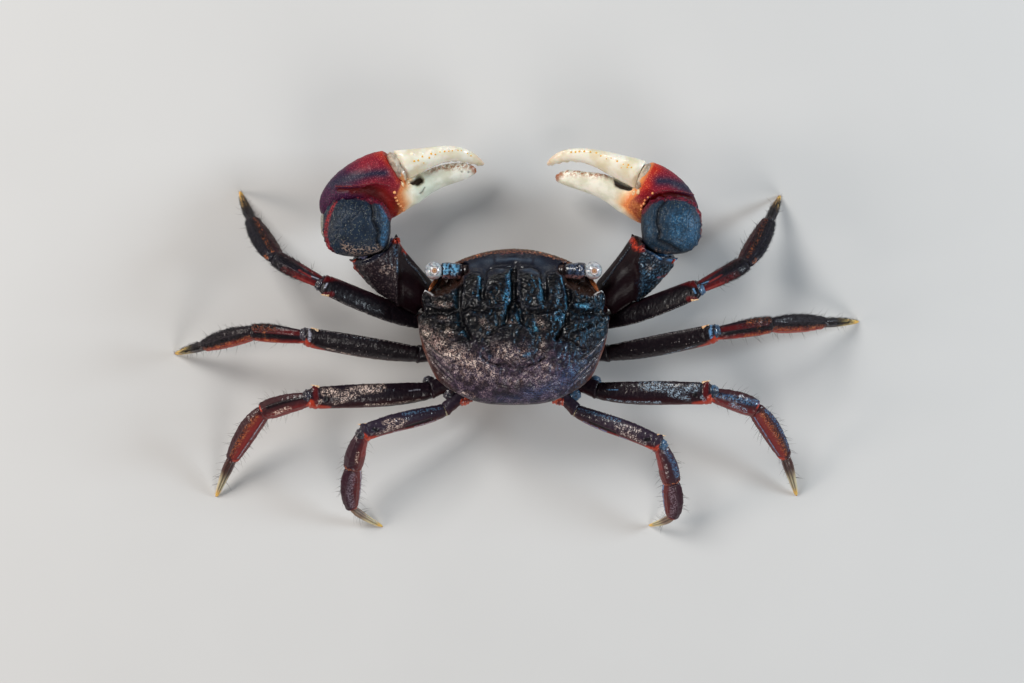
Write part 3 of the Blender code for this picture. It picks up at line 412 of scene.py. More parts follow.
# %% Carve the carapace
SHELL_CELL = 0.2
GROOVES = (
    (((0.1, 11.7), (0, 8.6), (0.1, 5.4)), 0.9, 0.5),
    (((0, 5.6), (0.9, 3.2), (1.9, 0.8)), 0.8, 0.5),
    (((6.1, 11.0), (6.1, 8.7), (6.3, 6.0)), 0.9, 0.55),
    (((10.2, 11.2), (10.9, 8.4), (11.4, 4.3), (10.8, 0.8), (8.8, -2.6)), 0.95, 0.55),
    (((2.0, 0.4), (3.4, -0.3), (4.6, -1.6)), 0.3, 0.45),
    (((5.6, -2.6), (5.2, -4.6), (4.0, -6.2)), 0.35, 0.5),
    (((6.4, -6.2), (4.8, -7.4), (2.9, -8.2)), 0.6, 0.28),
    (((2.9, -8.2), (0, -8.8)), 0.25, 0.35),
    (((11.4, 3.4), (13.6, 2.7), (16.2, 3.0), (18.2, 2.4)), 0.75, 0.5),
    (((11.0, 5.4), (13.2, 5.0), (15.2, 5.4)), 0.4, 0.35),
    (((8.8, -2.5), (11.5, -3.1), (14.2, -4.9)), 0.45, 0.45),
    (((2.2, 3.1), (4.6, 2.7), (6.2, 3.2), (8.8, 3.4), (10.9, 2.9)), 0.5, 0.4),
    (((11.0, -0.2), (13.4, -0.6), (15.6, 0.2)), 0.4, 0.4),
)
RIDGES = (
    (((0.95, 11.0), (1.05, 8.0), (1.4, 5.4), (2.4, 2.8)), 0.4, 0.45),
    (((5.2, 9.6), (5.0, 10.8), (3.6, 11.6), (1.3, 11.1)), 0.45, 0.45),
    (((9.4, 9.8), (8.7, 10.7), (7.1, 10.7), (6.8, 9.8)), 0.4, 0.4),
    (((5.3, 9.4), (5.3, 6.8)), 0.35, 0.4),
    (((9.7, 9.2), (10.3, 6.2), (10.5, 3.9)), 0.3, 0.4),
    (((2.4, 4.2), (3.9, 3.7), (5.6, 4.0)), 0.4, 0.35),
    (((6.6, 2.2), (7.8, 2.5), (9.3, 3.2)), 0.35, 0.35),
    (((11.7, 4.3), (13.2, 4.1), (15.4, 3.9), (17.2, 4.6)), 0.4, 0.4),
    (((11.5, 1.6), (12.8, 0.9), (15.3, 1.1), (17.0, 2.0)), 0.4, 0.4),
    (((10.2, -1.6), (13.2, -1.5), (16.2, -0.2)), 0.3, 0.4),
    (((1.0, 0.2), (2.6, -0.7), (3.9, -2.2)), 0.3, 0.4),
)
RINGLETS = (((4.3, 7.2), 0.85), ((7.9, 6.9), 0.7), ((2.9, 5.6), 0.5), ((13.3, 7.0), 0.8))
SLATE_FROM = ((0, 12.2), (0.9, 11.7), (1.5, 11.0), (2.7, 10.7), (5.0, 10.1), (5.7, 9.4), (6.2, 7.4),
              (6.6, 10.2), (8.5, 10.6), (9.6, 10.2), (10.2, 8.6), (10.9, 10.6), (14.0, 12.0))
LOBE_ARCS = (
    (((5.9, 9.6), (5.6, 11.0), (4.8, 11.8), (3.4, 12.15), (1.5, 12.05), (0.4, 12.3)), 1.0, 0.2),
    (((6.5, 10.0), (6.8, 10.9), (8.5, 11.1), (9.7, 10.7)), 0.8, 0.18),
    (((0, 12.9), (2.6, 12.8), (4.0, 12.5)), 0.6, 0.4),
)
# Lines of painted light on the slate front band and the lobes' front slopes.
SLATE_LIGHTS = (
    (((0, 13.9), (2.9, 13.8)), 1.0, 0.45),
    (((2.4, 11.2), (4.9, 10.8)), 0.9, 0.4),
    (((4.8, 13.1), (9.4, 12.1)), 0.6, 0.7),
    (((6.2, 11.6), (6.2, 8.4)), 0.35, 0.3),
)
FLANK_LINES = (
    (((19.2, 0.6), (18.9, -1.6), (18.0, -2.9), (16.7, -4.2), (15.5, -5.3), (13.6, -6.6)), 1.0, 0.16),
    (((17.4, -5.5), (16.5, -6.5), (15.4, -7.4), (14.3, -8.3), (12.1, -10.6)), 0.9, 0.15),
    (((17.0, -6.5), (16.0, -7.7), (14.9, -9.1), (13.3, -10.5), (12.2, -11.4)), 0.8, 0.15),
    (((15.4, -9.3), (13.9, -10.7), (12.9, -11.5)), 0.6, 0.13),
)
FLANK_EDGE = ((19.2, 0.6), (18.0, -2.9), (15.5, -5.3), (14.0, -7.6), (12.1, -10.4), (9.8, -13.0))
TOOTH_TIP = (20.2, 2.2)
TOOTH_NOTCH = (19.1, 3.3)
# Places of beige grains; the finish paints them lighter where they face left, as a warm highlight.
WARM_PLACES = (
    (((-18.2, -1.6), (-15.6, -3.6), (-12.4, -5.6), (-8.6, -7.4), (-5.0, -9.2)), 1.0, 1.7),
    (((-2.6, -5.0), (-0.4, -6.0), (2.4, -5.6)), 0.9, 1.5),
    (((5.6, -3.2), (6.0, -6.0)), 0.9, 0.6),
    (((-15.6, 4.7), (-12.8, 4.3)), 0.9, 0.45),
    (((-13.4, -0.9), (-12.8, -1.6)), 1.0, 0.6),
    (((-6.2, 1.0), (-4.9, -0.4)), 0.9, 0.6),
    (((5.2, 1.0), (6.2, -0.2)), 0.8, 0.6),
    (((-15.0, 1.9), (-13.4, 1.4)), 0.6, 0.4),
    (((-0.9, 0.9), (-0.2, 0.8)), 0.8, 0.35),
    (((6.2, -8.0), (7.6, -8.2)), 0.9, 0.8),
    (((-12.6, -6.4), (-9.0, -10.0), (0, -11.4), (6.0, -10.0)), 0.4, 1.8),
    (((-10.1, -13.5), (-8.2, -14.3)), 0.9, 0.6),
)
# Lines on the lobes' right-facing walls where bright sky-blue highlights are painted.
LOBE_BLUES = (
    (((-1.2, 10.0), (-1.4, 7.0), (-1.7, 3.4)), 1.0, 0.32),
    (((5.4, 10.0), (5.6, 8.0), (5.4, 5.4)), 1.0, 0.28),
    (((9.6, 9.6), (10.5, 7.0), (10.8, 3.6)), 0.9, 0.24),
    (((-7.0, 10.0), (-6.6, 7.6)), 0.9, 0.26),
    (((0.9, 3.2), (1.1, 1.6)), 0.9, 0.3),
    (((13.0, 4.2), (14.6, 4.0)), 0.7, 0.4),
    (((8.6, 1.6), (10.0, 2.0)), 0.7, 0.35),
    (((4.0, 1.4), (4.6, -1.0)), 0.7, 0.35),
    (((2.2, -5.9), (3.6, -5.2)), 0.7, 0.35),
)
# Where a blue sheen is painted on the rear field.
BLUE_REAR = (
    (((3.0, -13.8), (8.0, -12.4), (11.6, -9.6)), 1.0, 1.5),
    (((-3.0, -14.8), (1.5, -14.6)), 0.6, 0.8),
)


def relief_of(plan, lines):
    """The strongest of several lines at each point: each line has a height and a half width."""
    relief = np.zeros(len(plan))
    for line, height, width in lines:
        relief = np.maximum(relief, height * bell(away_from(plan, line), width))
    return relief


def carve_carapace(obj):
    """Cuts the grooves and raises the ridges and wrinkles, and marks each point for the finish."""
    points, normals = points_of(obj), normals_of(obj)
    place = (points - BODY) / MM
    plan = np.column_stack([np.abs(place[:, 0]), place[:, 1]])
    facing = rising(normals[:, 2], 0.25, 0.6)
    wobble = np.column_stack([cloud(place, 1.7, seed) for seed in (11, 12)]) * 0.22
    sink = relief_of(plan + wobble, GROOVES)
    rise = relief_of(plan + wobble, RIDGES)
    for middle, radius in RINGLETS:
        away = np.linalg.norm(plan - middle + wobble, axis=1)
        rise = np.maximum(rise, 0.3 * bell(away - radius, 0.24))
        sink = np.maximum(sink, 0.35 * bell(away, 0.4))
    line_y, line_x = [y for _, y in reversed(FLANK_EDGE)], [x for x, _ in reversed(FLANK_EDGE)]
    outward = (plan[:, 0] - np.interp(plan[:, 1], line_y, line_x)) * 0.75
    stripes = relief_of(plan + wobble * 0.3, FLANK_LINES)
    lips = relief_of(plan + wobble * 0.3 - (0.2, -0.2), FLANK_LINES)
    slate_from = np.interp(plan[:, 0], *zip(*SLATE_FROM))
    smooth_front = rising(place[:, 1] + wobble[:, 0] - slate_from, -0.2, 0.2)
    arcs = relief_of(plan, LOBE_ARCS)
    smooth_rear = rising(-place[:, 1], 8.0, 12.0)
    flank = rising(outward, -0.4, 0.4) * rising(-plan[:, 1], -1.0, 1.0)
    rough = (1 - smooth_front) * (1 - 0.8 * smooth_rear) * (1 - 0.8 * flank) * facing
    wander = np.column_stack([cloud(place, 1.6, seed) for seed in (1, 2, 3)])
    worms = 1 - np.abs(cloud(place + wander * 0.8, 1.15, 4)) * 2.4
    small = 1 - np.abs(cloud(place + wander * 0.5, 0.6, 5)) * 2.2
    grains = cloud(place, 0.36, 6)
    lumps = 0.2 * np.clip(worms, -1, 1) + 0.1 * np.clip(small, -1, 1) + 0.04 * grains
    height = (rise - sink) * (1 - 0.6 * smooth_front) + lumps * rough
    height += 0.1 * lips - 0.24 * stripes - 0.25 * arcs
    height += (0.05 * grains + 0.05 * cloud(place, 1.3, 8)) * np.maximum(smooth_rear, 0.5 * flank)
    moved = points + normals * (height * facing)[:, None] * MM
    tip_away, notch_away = (np.linalg.norm(plan - spot, axis=1) for spot in (TOOTH_TIP, TOOTH_NOTCH))
    outwards = (0.8 * bell(tip_away, 0.7) - 0.9 * bell(notch_away, 0.45)) * rising(place[:, 2], 9, 12)
    moved[:, 0] += np.sign(place[:, 0]) * outwards * MM
    move_points(obj, moved)
    tilt = normals_of(obj)
    warm = relief_of(place[:, :2], WARM_PLACES)
    # How high each point stands; the finish paints a grey-blue highlight on the highest crests.
    mark(obj, "ridge", 0.4 + (height + 0.1 * cloud(place, 2.5, 9)) * 0.9)
    # The grooves, flank lines and lobe arcs, which the finish paints near-black as shade.
    mark(obj, "groove", np.maximum(np.maximum(sink * 1.1 * (1 - smooth_front), 0.9 * stripes), 0.8 * arcs))
    mark(obj, "lip", lips * (1 - stripes))
    mark(obj, "brown_flank", rising(outward, 0.9, 2.0) * rising(-plan[:, 1], 1.0, 4.0))
    # Where the finish paints a blue sheen on the rear.
    mark(obj, "rear_blue", relief_of(place[:, :2], BLUE_REAR) * facing)
    # Slopes that face right, where the finish paints a sky-blue highlight.
    to_right = rising(tilt[:, 0], 0.28, 0.62) * facing
    flat_flank = 1 - 0.6 * rising(place[:, 0], 11, 17)
    mark(obj, "right_face", to_right * (1 - 0.75 * smooth_front) * flat_flank)
    # Beige grains, stronger on slopes that face left as a painted warm highlight.
    mark(obj, "warm", warm * (0.4 + 0.6 * rising(tilt[:, 1] * 0.3 - tilt[:, 0], -0.2, 0.25)) * facing)
    mark(obj, "rear", rising(-place[:, 1] + 1.5 * cloud(place, 3.0, 7), 0.5, 10.0))
    mark(obj, "front_band", smooth_front)
    broken = rising(cloud(place, 2.2, 10), -0.7, 0.7)
    # Where the finish paints highlights on the slate front band.
    mark(obj, "front_light", relief_of(plan + wobble * 3, SLATE_LIGHTS) * broken)
    # Where the finish paints the bright blue highlights of the lobes.
    mark(obj, "lobe_blue", relief_of(place[:, :2] + wobble * 0.6, LOBE_BLUES) * facing)
    mark(obj, "wall", 1 - rising(normals[:, 2], 0.12, 0.45))
    return place


shell = plate_from("carapace", SHELL_CELL, 8)
shell_place = carve_carapace(shell)
print("carapace points:", len(shell.data.vertices))

# %% [markdown]
# The two orbits are hollows under the front corners, lined with a thin brown skin, and the tooth
# outside each has a pale edge. A value is painted on the carapace points that lie in the hollow or
# along an edge, so that one finish can colour all of it without a seam.

# %% Mark the orbits and the pale edges
ORBIT_MIDDLE = (15.2, 10.9, 20.4)
ORBIT_REACH = (4.75, 4.7, 5.2)
ORBIT_EDGE = 1.045
PALE_EDGE = ((18.9, 6.2), (18.6, 7.05), (17.9, 7.35), (17.3, 7.0), (16.5, 6.4))
MARGIN_LINE = ((19.4, -2.1), (18.5, -4.5), (17.7, -6.9), (17.0, -9.0), (15.6, -11.0))
FRONT_RIM = ((13.4, 12.5), (11.1, 13.9), (9.0, 14.7), (6.2, 15.4), (3.4, 15.8), (0, 15.9))
ROSY_MIDDLE = ((-2.5, 14.9), (-1.2, 15.1), (-0.1, 15.5), (0.8, 15.2), (1.8, 15.0))


def mark_orbits(obj, place):
    across = np.column_stack([np.abs(place[:, 0]), place[:, 1], place[:, 2]])
    plan = across[:, :2]
    reach = np.linalg.norm((across - ORBIT_MIDDLE) / ORBIT_REACH, axis=1)
    mark(obj, "socket", 1 - rising(reach, 1.0, 1.04))
    mark(obj, "orbit_edge", bell(reach - ORBIT_EDGE, 0.025) * rising(place[:, 2], 14, 16))
    crown, front = rising(place[:, 2], 16.0, 17.2), rising(place[:, 2], 8, 10)
    mark(obj, "pale_edge", rising(bell(away_from(plan, PALE_EDGE), 0.2), 0.35, 0.7) * crown)
    mark(obj, "rim", bell(away_from(plan, MARGIN_LINE), 0.4))
    mark(obj, "front_rim", rising(bell(away_from(plan, FRONT_RIM), 0.8), 0.2, 0.6) * front)
    mark(obj, "rosy_middle", bell(away_from(place[:, :2], ROSY_MIDDLE), 0.18))


mark_orbits(shell, shell_place)
print("orbits and rims marked")

# %% [markdown]
# The shell is nearly black and wet. A sky-blue highlight is painted on the slopes that face right
# and in streaks on the lobes, and a grey-blue one on the crests of the ridges. The grains on the left
# flank and round the hump are beige, painted lighter where they face left as a warm highlight, the
# rear field is mottled violet with painted beige glints and a painted blue sheen on its right, the
# grooves are painted near-black as shade, the lower flanks are brown and the smooth front band is
# slate, with painted highlights on the lobes' front slopes. The gloss is not even: a clear coat lies
# only on the crowns of the grain, so that small glints stand on a black ground.

# %% The shell's finish
def shell_finish():
    finish = Finish("wet_shell", 0.34, coat_roughness=0.14, gloss=0.14)
    fine = finish.noise(0.5, 4)
    speck = finish.noise(0.28, 5, 0.62)
    broad = finish.noise(4, 2)
    patchy = finish.noise(1.5, 4)
    rear, ridge = finish.mark("rear"), finish.mark("ridge")
    finish.base = finish.mix((5, 6, 11), (40, 31, 43), rear * (0.3 + 0.9 * broad))
    # A painted grey-blue highlight on the crests of the ridges.
    finish.lay((30, 33, 46), ridge.above(0.45, 0.85) * fine.above(0.35, 0.6) * 0.6)
    finish.lay((52, 38, 32), fine.above(0.56, 0.66) * speck.above(0.45, 0.6) * 0.7)
    mottled = rear * patchy.above(0.42, 0.58)
    finish.lay((88, 72, 92), mottled * (0.2 + 0.8 * speck.above(0.42, 0.6)))
    # Painted beige glints on the mottled rear field.
    finish.lay((170, 142, 138), rear * patchy.above(0.54, 0.64) * speck.above(0.52, 0.62) * 0.7)
    # A painted blue sheen on the right of the rear field.
    finish.lay((62, 76, 114), finish.mark("rear_blue") * speck.above(0.4, 0.58) * 0.7)
    finish.lay((50, 30, 28), finish.mark("brown_flank") * 0.85)
    # A painted sky-blue highlight on the slopes that face right, weaker on the rear field.
    blue = finish.mark("right_face") * (0.15 + patchy.above(0.42, 0.58)) * speck.above(0.44, 0.58)
    finish.lay((88, 148, 184), blue * (0.75 - 0.4 * rear))
    # Painted sky-blue highlights in streaks on the lobes.
    sky = finish.mix((44, 104, 146), (112, 196, 234), patchy.above(0.45, 0.62))
    finish.lay(sky, finish.mark("lobe_blue") * fine.above(0.38, 0.52) * speck.above(0.4, 0.54))
    pits = finish.cells(0.62).above(0.16, 0.3)
    clumps = finish.noise(0.9, 4, 0.7).above(0.4, 0.52)
    # Beige grains with dark pits between, painted lighter where they face left as a warm highlight.
    warm = finish.mark("warm") * speck.above(0.46, 0.56) * pits * (0.15 + clumps)
    finish.lay(finish.mix((160, 132, 126), (232, 212, 198), patchy.above(0.42, 0.62)), warm * 0.9)
    # Painted shade: the grooves, flank lines and lobe arcs near-black.
    finish.lay((6, 6, 10), finish.mark("groove") * 0.9)
    finish.lay((150, 132, 132), finish.mark("lip") * fine.above(0.4, 0.6) * 0.6)
    # The slate front band, with painted highlights where it catches the light.
    lit = finish.mark("front_light") * (0.3 + 0.7 * broad)
    slate = finish.mix((24, 26, 38), (76, 90, 106), lit)
    # Painted shade in the grooves of the front band.
    slate = finish.mix(slate, (5, 6, 10), finish.mark("groove") * 0.8)
    finish.lay(slate, finish.mark("front_band"))
    finish.lay((60, 33, 30), finish.mark("wall") * 0.85)
    finish.lay((140, 78, 58), finish.mark("rim") * 0.65 * fine.above(0.3, 0.6))
    rust = finish.mix((40, 22, 20), (122, 66, 40), fine.above(0.42, 0.66))
    finish.lay(rust, finish.mark("front_rim") * 0.95)
    finish.lay((128, 62, 62), finish.mark("rosy_middle") * 0.5 * fine.above(0.36, 0.56))
    finish.lay((62, 50, 50), finish.mark("orbit_edge") * 0.8)
    lining = finish.mix((22, 13, 12), (58, 34, 24), patchy)
    finish.lay(lining, finish.mark("socket"))
    finish.lay((222, 224, 226), finish.mark("pale_edge") * 0.95)
    finish.set("Coat Weight", 0.03 + 0.75 * fine.above(0.44, 0.6) * speck.above(0.4, 0.55))
    beads = 1 - finish.cells(0.34)
    finish.bump(beads * 0.55 + speck * 0.8, 0.1)
    return finish.done()


owned(shell, shell_finish(), "shell", "carapace")
print("carapace finished")

# %% [markdown]
# Small round parts repeat all over a crab: beads on the front rim, grains on the claws, teeth on
# the fingers. Each kind is modelled once, as a ball or a cone with a slightly uneven skin, and
# copied to its places as one joined mesh. Finding a place on a plate is done by dropping a line on
# it from above, as a maker would lower a bead on tweezers.

# %% Copies of one small part
DROP_HEIGHT = 40


def from_body(place):
    """The place in the scene of one that is counted in millimetres from the body point."""
    return BODY + np.array(place) * MM


def unit(vector):
    vector = np.asarray(vector, float)
    return vector / np.linalg.norm(vector, axis=-1, keepdims=True)


def frame_along(way):
    """Two directions square to a way and to each other."""
    helper = np.where(np.abs(way[..., 2:3]) > 0.9, (1.0, 0, 0), (0, 0, 1.0))
    across = unit(np.cross(helper, way))
    return across, np.cross(way, across)


def model_of(kind, **settings):
    """Models one small part by an operator, and hands back its points and faces."""
    for other in list(bpy.context.selected_objects):
        other.select_set(False)
    kind(**settings)
    made = bpy.context.active_object
    points = points_of(made)
    faces = [tuple(face.vertices) for face in made.data.polygons]
    bpy.data.objects.remove(made, do_unlink=True)
    return points, faces


def joined_copies(name, model, places, ways, widths, lengths):
    """Copies a modelled part to each place, its z axis along the way given there."""
    points, faces = model
    places, ways = np.asarray(places, float), unit(ways)
    across, over = frame_along(ways)
    widths = np.broadcast_to(widths, len(places))[:, None, None]
    lengths = np.broadcast_to(lengths, len(places))[:, None, None]
    spread = points[None, :, 0:1] * across[:, None] + points[None, :, 1:2] * over[:, None]
    copies = places[:, None] + spread * widths + points[None, :, 2:3] * ways[:, None] * lengths
    every_face = [
        tuple(index + number * len(points) for index in face)
        for number in range(len(places))
        for face in faces
    ]
    mesh = bpy.data.meshes.new(name)
    mesh.from_pydata(copies.reshape(-1, 3).tolist(), [], every_face)
    mesh.shade_smooth()
    obj = bpy.data.objects.new(name, mesh)
    bpy.context.scene.collection.objects.link(obj)
    return obj


def scattered(name, model, found, low, high, height=1.0):
    """Copies a part to found places, in sizes drawn at random between two, in millimetres."""
    places, ways = found
    sizes = rng.uniform(low, high, len(places)) * MM
    return joined_copies(name, model, places, ways, sizes, sizes * height)


def dropped_on(obj, plan_places):
    """Where lines lowered from above meet a plate, and which way it faces there."""
    bpy.context.view_layer.update()
    places, ways = [], []
    for x, y in plan_places:
        start = Vector(from_body((x, y, DROP_HEIGHT)))
        hit, place, way, _ = obj.ray_cast(start, Vector((0, 0, -1)))
        if hit:
            places.append(place)
            ways.append(way)
    return np.array(places), np.array(ways)


def spaced_along(line, count):
    """Even places along a line of points."""
    line = np.asarray(line, float)
    lengths = np.concatenate([[0], np.cumsum(np.linalg.norm(np.diff(line, axis=0), axis=1))])
    wanted = np.linspace(0, lengths[-1], count)
    return np.column_stack([np.interp(wanted, lengths, column) for column in line.T])


BEAD = model_of(bpy.ops.mesh.primitive_ico_sphere_add, subdivisions=3, radius=1)
SMALL_BEAD = model_of(bpy.ops.mesh.primitive_ico_sphere_add, subdivisions=2, radius=1)
TOOTH = model_of(bpy.ops.mesh.primitive_cone_add, vertices=14, radius1=1, radius2=0.12, depth=1)
rng = np.random.default_rng(11)
print("bead of", len(BEAD[1]), "faces, tooth of", len(TOOTH[1]))

# %% [markdown]
# Round the front edge runs a brown rim, finely toothed, and just behind it lie a few small orange
# spots, painted glints of the wet rim. The beads of the rim sit on the foremost point of the shell at
# each station across it, which is the outline one sees from above, and flatter brown lumps lie inside it.

# %% Beads on the front rim
RIM_BEADS = 150
RIM_HALF = 13.4
RIM_LUMPS = 90
SPOTS = ((-7.5, 14.6), (-7.0, 14.7), (-4.6, 15.1), (4.4, 15.2), (5.5, 15.2), (7.3, 14.5), (7.7, 14.4),
         (11.0, 12.3), (-10.8, 12.4))


def bead_finish(name, pale, dark, roughness=0.35, coat=0.3):
    """Beads mottled between a dark and a pale tone, in small uneven stains."""
    finish = Finish(name, roughness, coat)
    stain = finish.noise(0.3, 3).above(0.35, 0.65)
    finish.base = finish.mix(dark, pale, stain)
    finish.bump(finish.noise(0.12), 0.02)
    return finish.done()


def nearest_on(obj, spots):
    """The points of a plate nearest to some places, and which way it faces there."""
    found = [obj.closest_point_on_mesh(Vector(spot)) for spot in spots]
    return np.array([place for _, place, _, _ in found]), np.array([way for _, _, way, _ in found])


def front_edge(obj, stations):
    """The foremost point of a plate at each station across it, and which way it faces there."""
    points, normals = points_of(obj), normals_of(obj)
    offset = (points[:, 0] - BODY[0]) / MM
    found = []
    for station in stations:
        near = np.flatnonzero(np.abs(offset - station) < 0.15)
        found.append(near[np.argmax(points[near, 1])])
    return points[found], normals[found]


places, ways = front_edge(shell, np.linspace(-RIM_HALF, RIM_HALF, RIM_BEADS))
rim_beads = scattered("rim_beads", SMALL_BEAD, (places, ways), 0.1, 0.16)
owned(rim_beads, bead_finish("rim_brown", (140, 118, 88), (58, 38, 30)), "shell")
inner_rim = (places[:, :2] - BODY[:2]) / MM - (0, 0.5)
spread = np.linspace(0, len(places) - 1, RIM_LUMPS).astype(int)
found = dropped_on(shell, inner_rim[spread] + rng.normal(0, 0.14, (RIM_LUMPS, 2)))
rim_lumps = scattered("rim_lumps", BEAD, found, 0.12, 0.26, 0.5)
owned(rim_lumps, bead_finish("lump_brown", (122, 70, 42), (34, 20, 20)), "shell")
# The orange spots are painted glints, laid as small flat beads.
places, ways = dropped_on(shell, SPOTS)
sizes = rng.uniform(0.16, 0.28, len(places)) * MM
spots = joined_copies("rim_spots", BEAD, places, ways, sizes, 0.12 * MM)
owned(spots, bead_finish("spot_orange", (216, 132, 84), (130, 58, 38)), "shell")
print("rim beads, lumps and spots:", RIM_BEADS, RIM_LUMPS, len(SPOTS))

# %% [markdown]
# Between its plates a real crab has a folded skin, which lets the joints bend. It is a soft squashed
# ball pushed into the gap, wrinkled across. The same kind of skin sits in every joint, so it gets
# one function: a ball stretched to three half sizes along three ways, with folds across its length.

# %% Joint skins
def joint_skin(name, middle, way, over, halves, folds=0.06, seed=50):
    """A wrinkled ball: half sizes in metres along the way, over it and across it."""
    bpy.ops.mesh.primitive_uv_sphere_add(segments=48, ring_count=28, radius=1)
    obj = bpy.context.active_object
    obj.name = name
    way = unit(way)
    over = unit(np.asarray(over) - way * (np.asarray(over) @ way))
    round_points = points_of(obj)
    length, height, breadth = halves
    across = np.cross(way, over)
    place = np.asarray(middle) + (
        np.outer(round_points[:, 2] * length, way)
        + np.outer(round_points[:, 0] * height, over)
        + np.outer(round_points[:, 1] * breadth, across)
    )
    move_points(obj, place)
    station = round_points[:, 2] * length / MM
    wave = np.sin(station * 9 + 1.5 * cloud(place / MM, 1.4, seed)) + cloud(place / MM, 0.5, seed + 1)
    move_points(obj, place + normals_of(obj) * wave[:, None] * folds * MM)
    only(obj)
    bpy.ops.object.shade_smooth()
    return obj


def skin_finish(name, light, deep, roughness=0.32, coat=0.4):
    finish = Finish(name, roughness, coat, bleed=0.15)
    broad = finish.noise(1.2, 3)
    fine = finish.noise(0.35, 3)
    finish.base = finish.mix(deep, light, broad.above(0.35, 0.62))
    finish.lay(light, fine.above(0.66, 0.76) * 0.5)
    finish.bump(fine, 0.04)
    return finish.done()


print("joint skins ready")

# %% [markdown]
# The eyes are pale grey balls on short stalks that lie in the orbits. On top of each is a small
# orange-brown dot inside faint rings. Along the orbit's outer edge runs a thin orange-brown rod, and
# on the top of the wet stalk a reflection of the sky is painted: on the left one in bright blue
# patches, on the right one hardly at all, with pale glints on both.

# %% Eyes, stalks and orbit rods
EYE_MIDDLE = np.array([16.3, 11.45, 18.9])
STALK_ROOT = np.array([9.6, 11.3, 17.7])
EYE_DOT_WAY = {"l": unit([0.1, -0.02, 1.0]), "r": unit([0.12, -0.06, 1.0])}
ROD_STATIONS = 64
ORBIT_ROD = ((15.5, 10.4, 17.8), (16.0, 9.4, 17.7), (16.7, 8.3, 17.8), (17.4, 7.1, 18.1))


def rod(name, line, radii, sides=12, steps=24):
    """A thin rod: a grid rolled round a line of points, its seam merged and its ends closed."""
    bpy.ops.mesh.primitive_grid_add(x_subdivisions=sides, y_subdivisions=steps, size=1)
    obj = bpy.context.active_object
    obj.name = name
    flat = points_of(obj)
    turn, share = (flat[:, 0] + 0.5) * math.tau, flat[:, 1] + 0.5
    spine = spaced_along(line, ROD_STATIONS)
    station = share * (ROD_STATIONS - 1)
    counted = np.arange(ROD_STATIONS)
    centre = np.column_stack([np.interp(station, counted, column) for column in spine.T])
    slopes = np.gradient(spine, axis=0)
    way = unit(np.column_stack([np.interp(station, counted, column) for column in slopes.T]))
    across, over = frame_along(way)
    radius = np.interp(share, np.linspace(0, 1, len(radii)), radii)[:, None]
    rolled = centre + (across * np.cos(turn)[:, None] + over * np.sin(turn)[:, None]) * radius
    move_points(obj, rolled)
    in_edit_mode(
        obj,
        (bpy.ops.mesh.remove_doubles, {"threshold": 0.002 * MM}),
        (bpy.ops.mesh.select_all, {"action": "DESELECT"}),
        (bpy.ops.mesh.select_non_manifold, {}),
        (bpy.ops.mesh.fill, {}),
        (bpy.ops.mesh.select_all, {"action": "SELECT"}),
        (bpy.ops.mesh.normals_make_consistent, {"inside": False}),
    )
    bpy.ops.object.shade_smooth()
    return obj


def eye_finish(letter, dot_place):
    """Cloudy grey, with rings round a brown dot at one place of the ball, in metres."""
    finish = Finish("eye_grey_" + letter, 0.12, coat=0.8, coat_roughness=0.05, bleed=0.15)
    gap = {0: finish.place, 1: dot_place}
    away = finish.node("ShaderNodeVectorMath", {"operation": "DISTANCE"}, gap, output="Value") * (1 / MM)
    cloudy = finish.noise(0.6, 4, 0.65).above(0.3, 0.65)
    away = away + 0.12 * (finish.noise(0.5, 3) - 0.5)
    finish.base = finish.mix((112, 120, 130), (196, 202, 206), cloudy)
    finish.lay((92, 80, 82), (1 - away.above(0.92, 0.98)) * 0.75)
    finish.lay((214, 206, 204), (1 - away.above(0.82, 0.88)) * (0.4 + 0.6 * cloudy))
    finish.lay((132, 94, 78), (1 - away.above(0.54, 0.6)) * 0.8)
    finish.lay((182, 138, 104), 1 - away.above(0.36, 0.46))
    finish.lay((112, 72, 48), (1 - away.above(0.14, 0.24)) * 0.6)
    finish.lay((168, 122, 116), finish.mark("low") * 0.6)
    finish.bump(1 - finish.cells(0.1), 0.01)
    return finish.done()


def stalk_finish(letter, sky):
    finish = Finish("stalk_wet_" + letter, 0.25, coat=0.5, coat_roughness=0.12)
    fine = finish.noise(0.55, 4)
    patchy = finish.noise(1.1, 3).above(0.4, 0.58)
    # A painted reflection of the sky on the stalk's top, and painted pale glints.
    gleam = finish.mark("top") * patchy * (0.3 + 0.7 * fine.above(0.42, 0.56))
    finish.base = finish.mix((18, 22, 36), sky, gleam)
    finish.lay((176, 196, 206), patchy * finish.noise(0.25).above(0.6, 0.7) * 0.7)
    finish.lay((150, 104, 98), finish.mark("skirt") * fine.above(0.35, 0.6))
    finish.lay((30, 20, 20), finish.mark("root") * 0.9)
    finish.bump(fine, 0.08)
    return finish.done()


def rod_finish():
    finish = Finish("rod_brown", 0.3, coat=0.5, bleed=0.2)
    length = finish.noise(0.8, 3)
    finish.base = finish.mix((92, 46, 24), (172, 96, 44), length)
    finish.bump(length, 0.05)
    return finish.done()


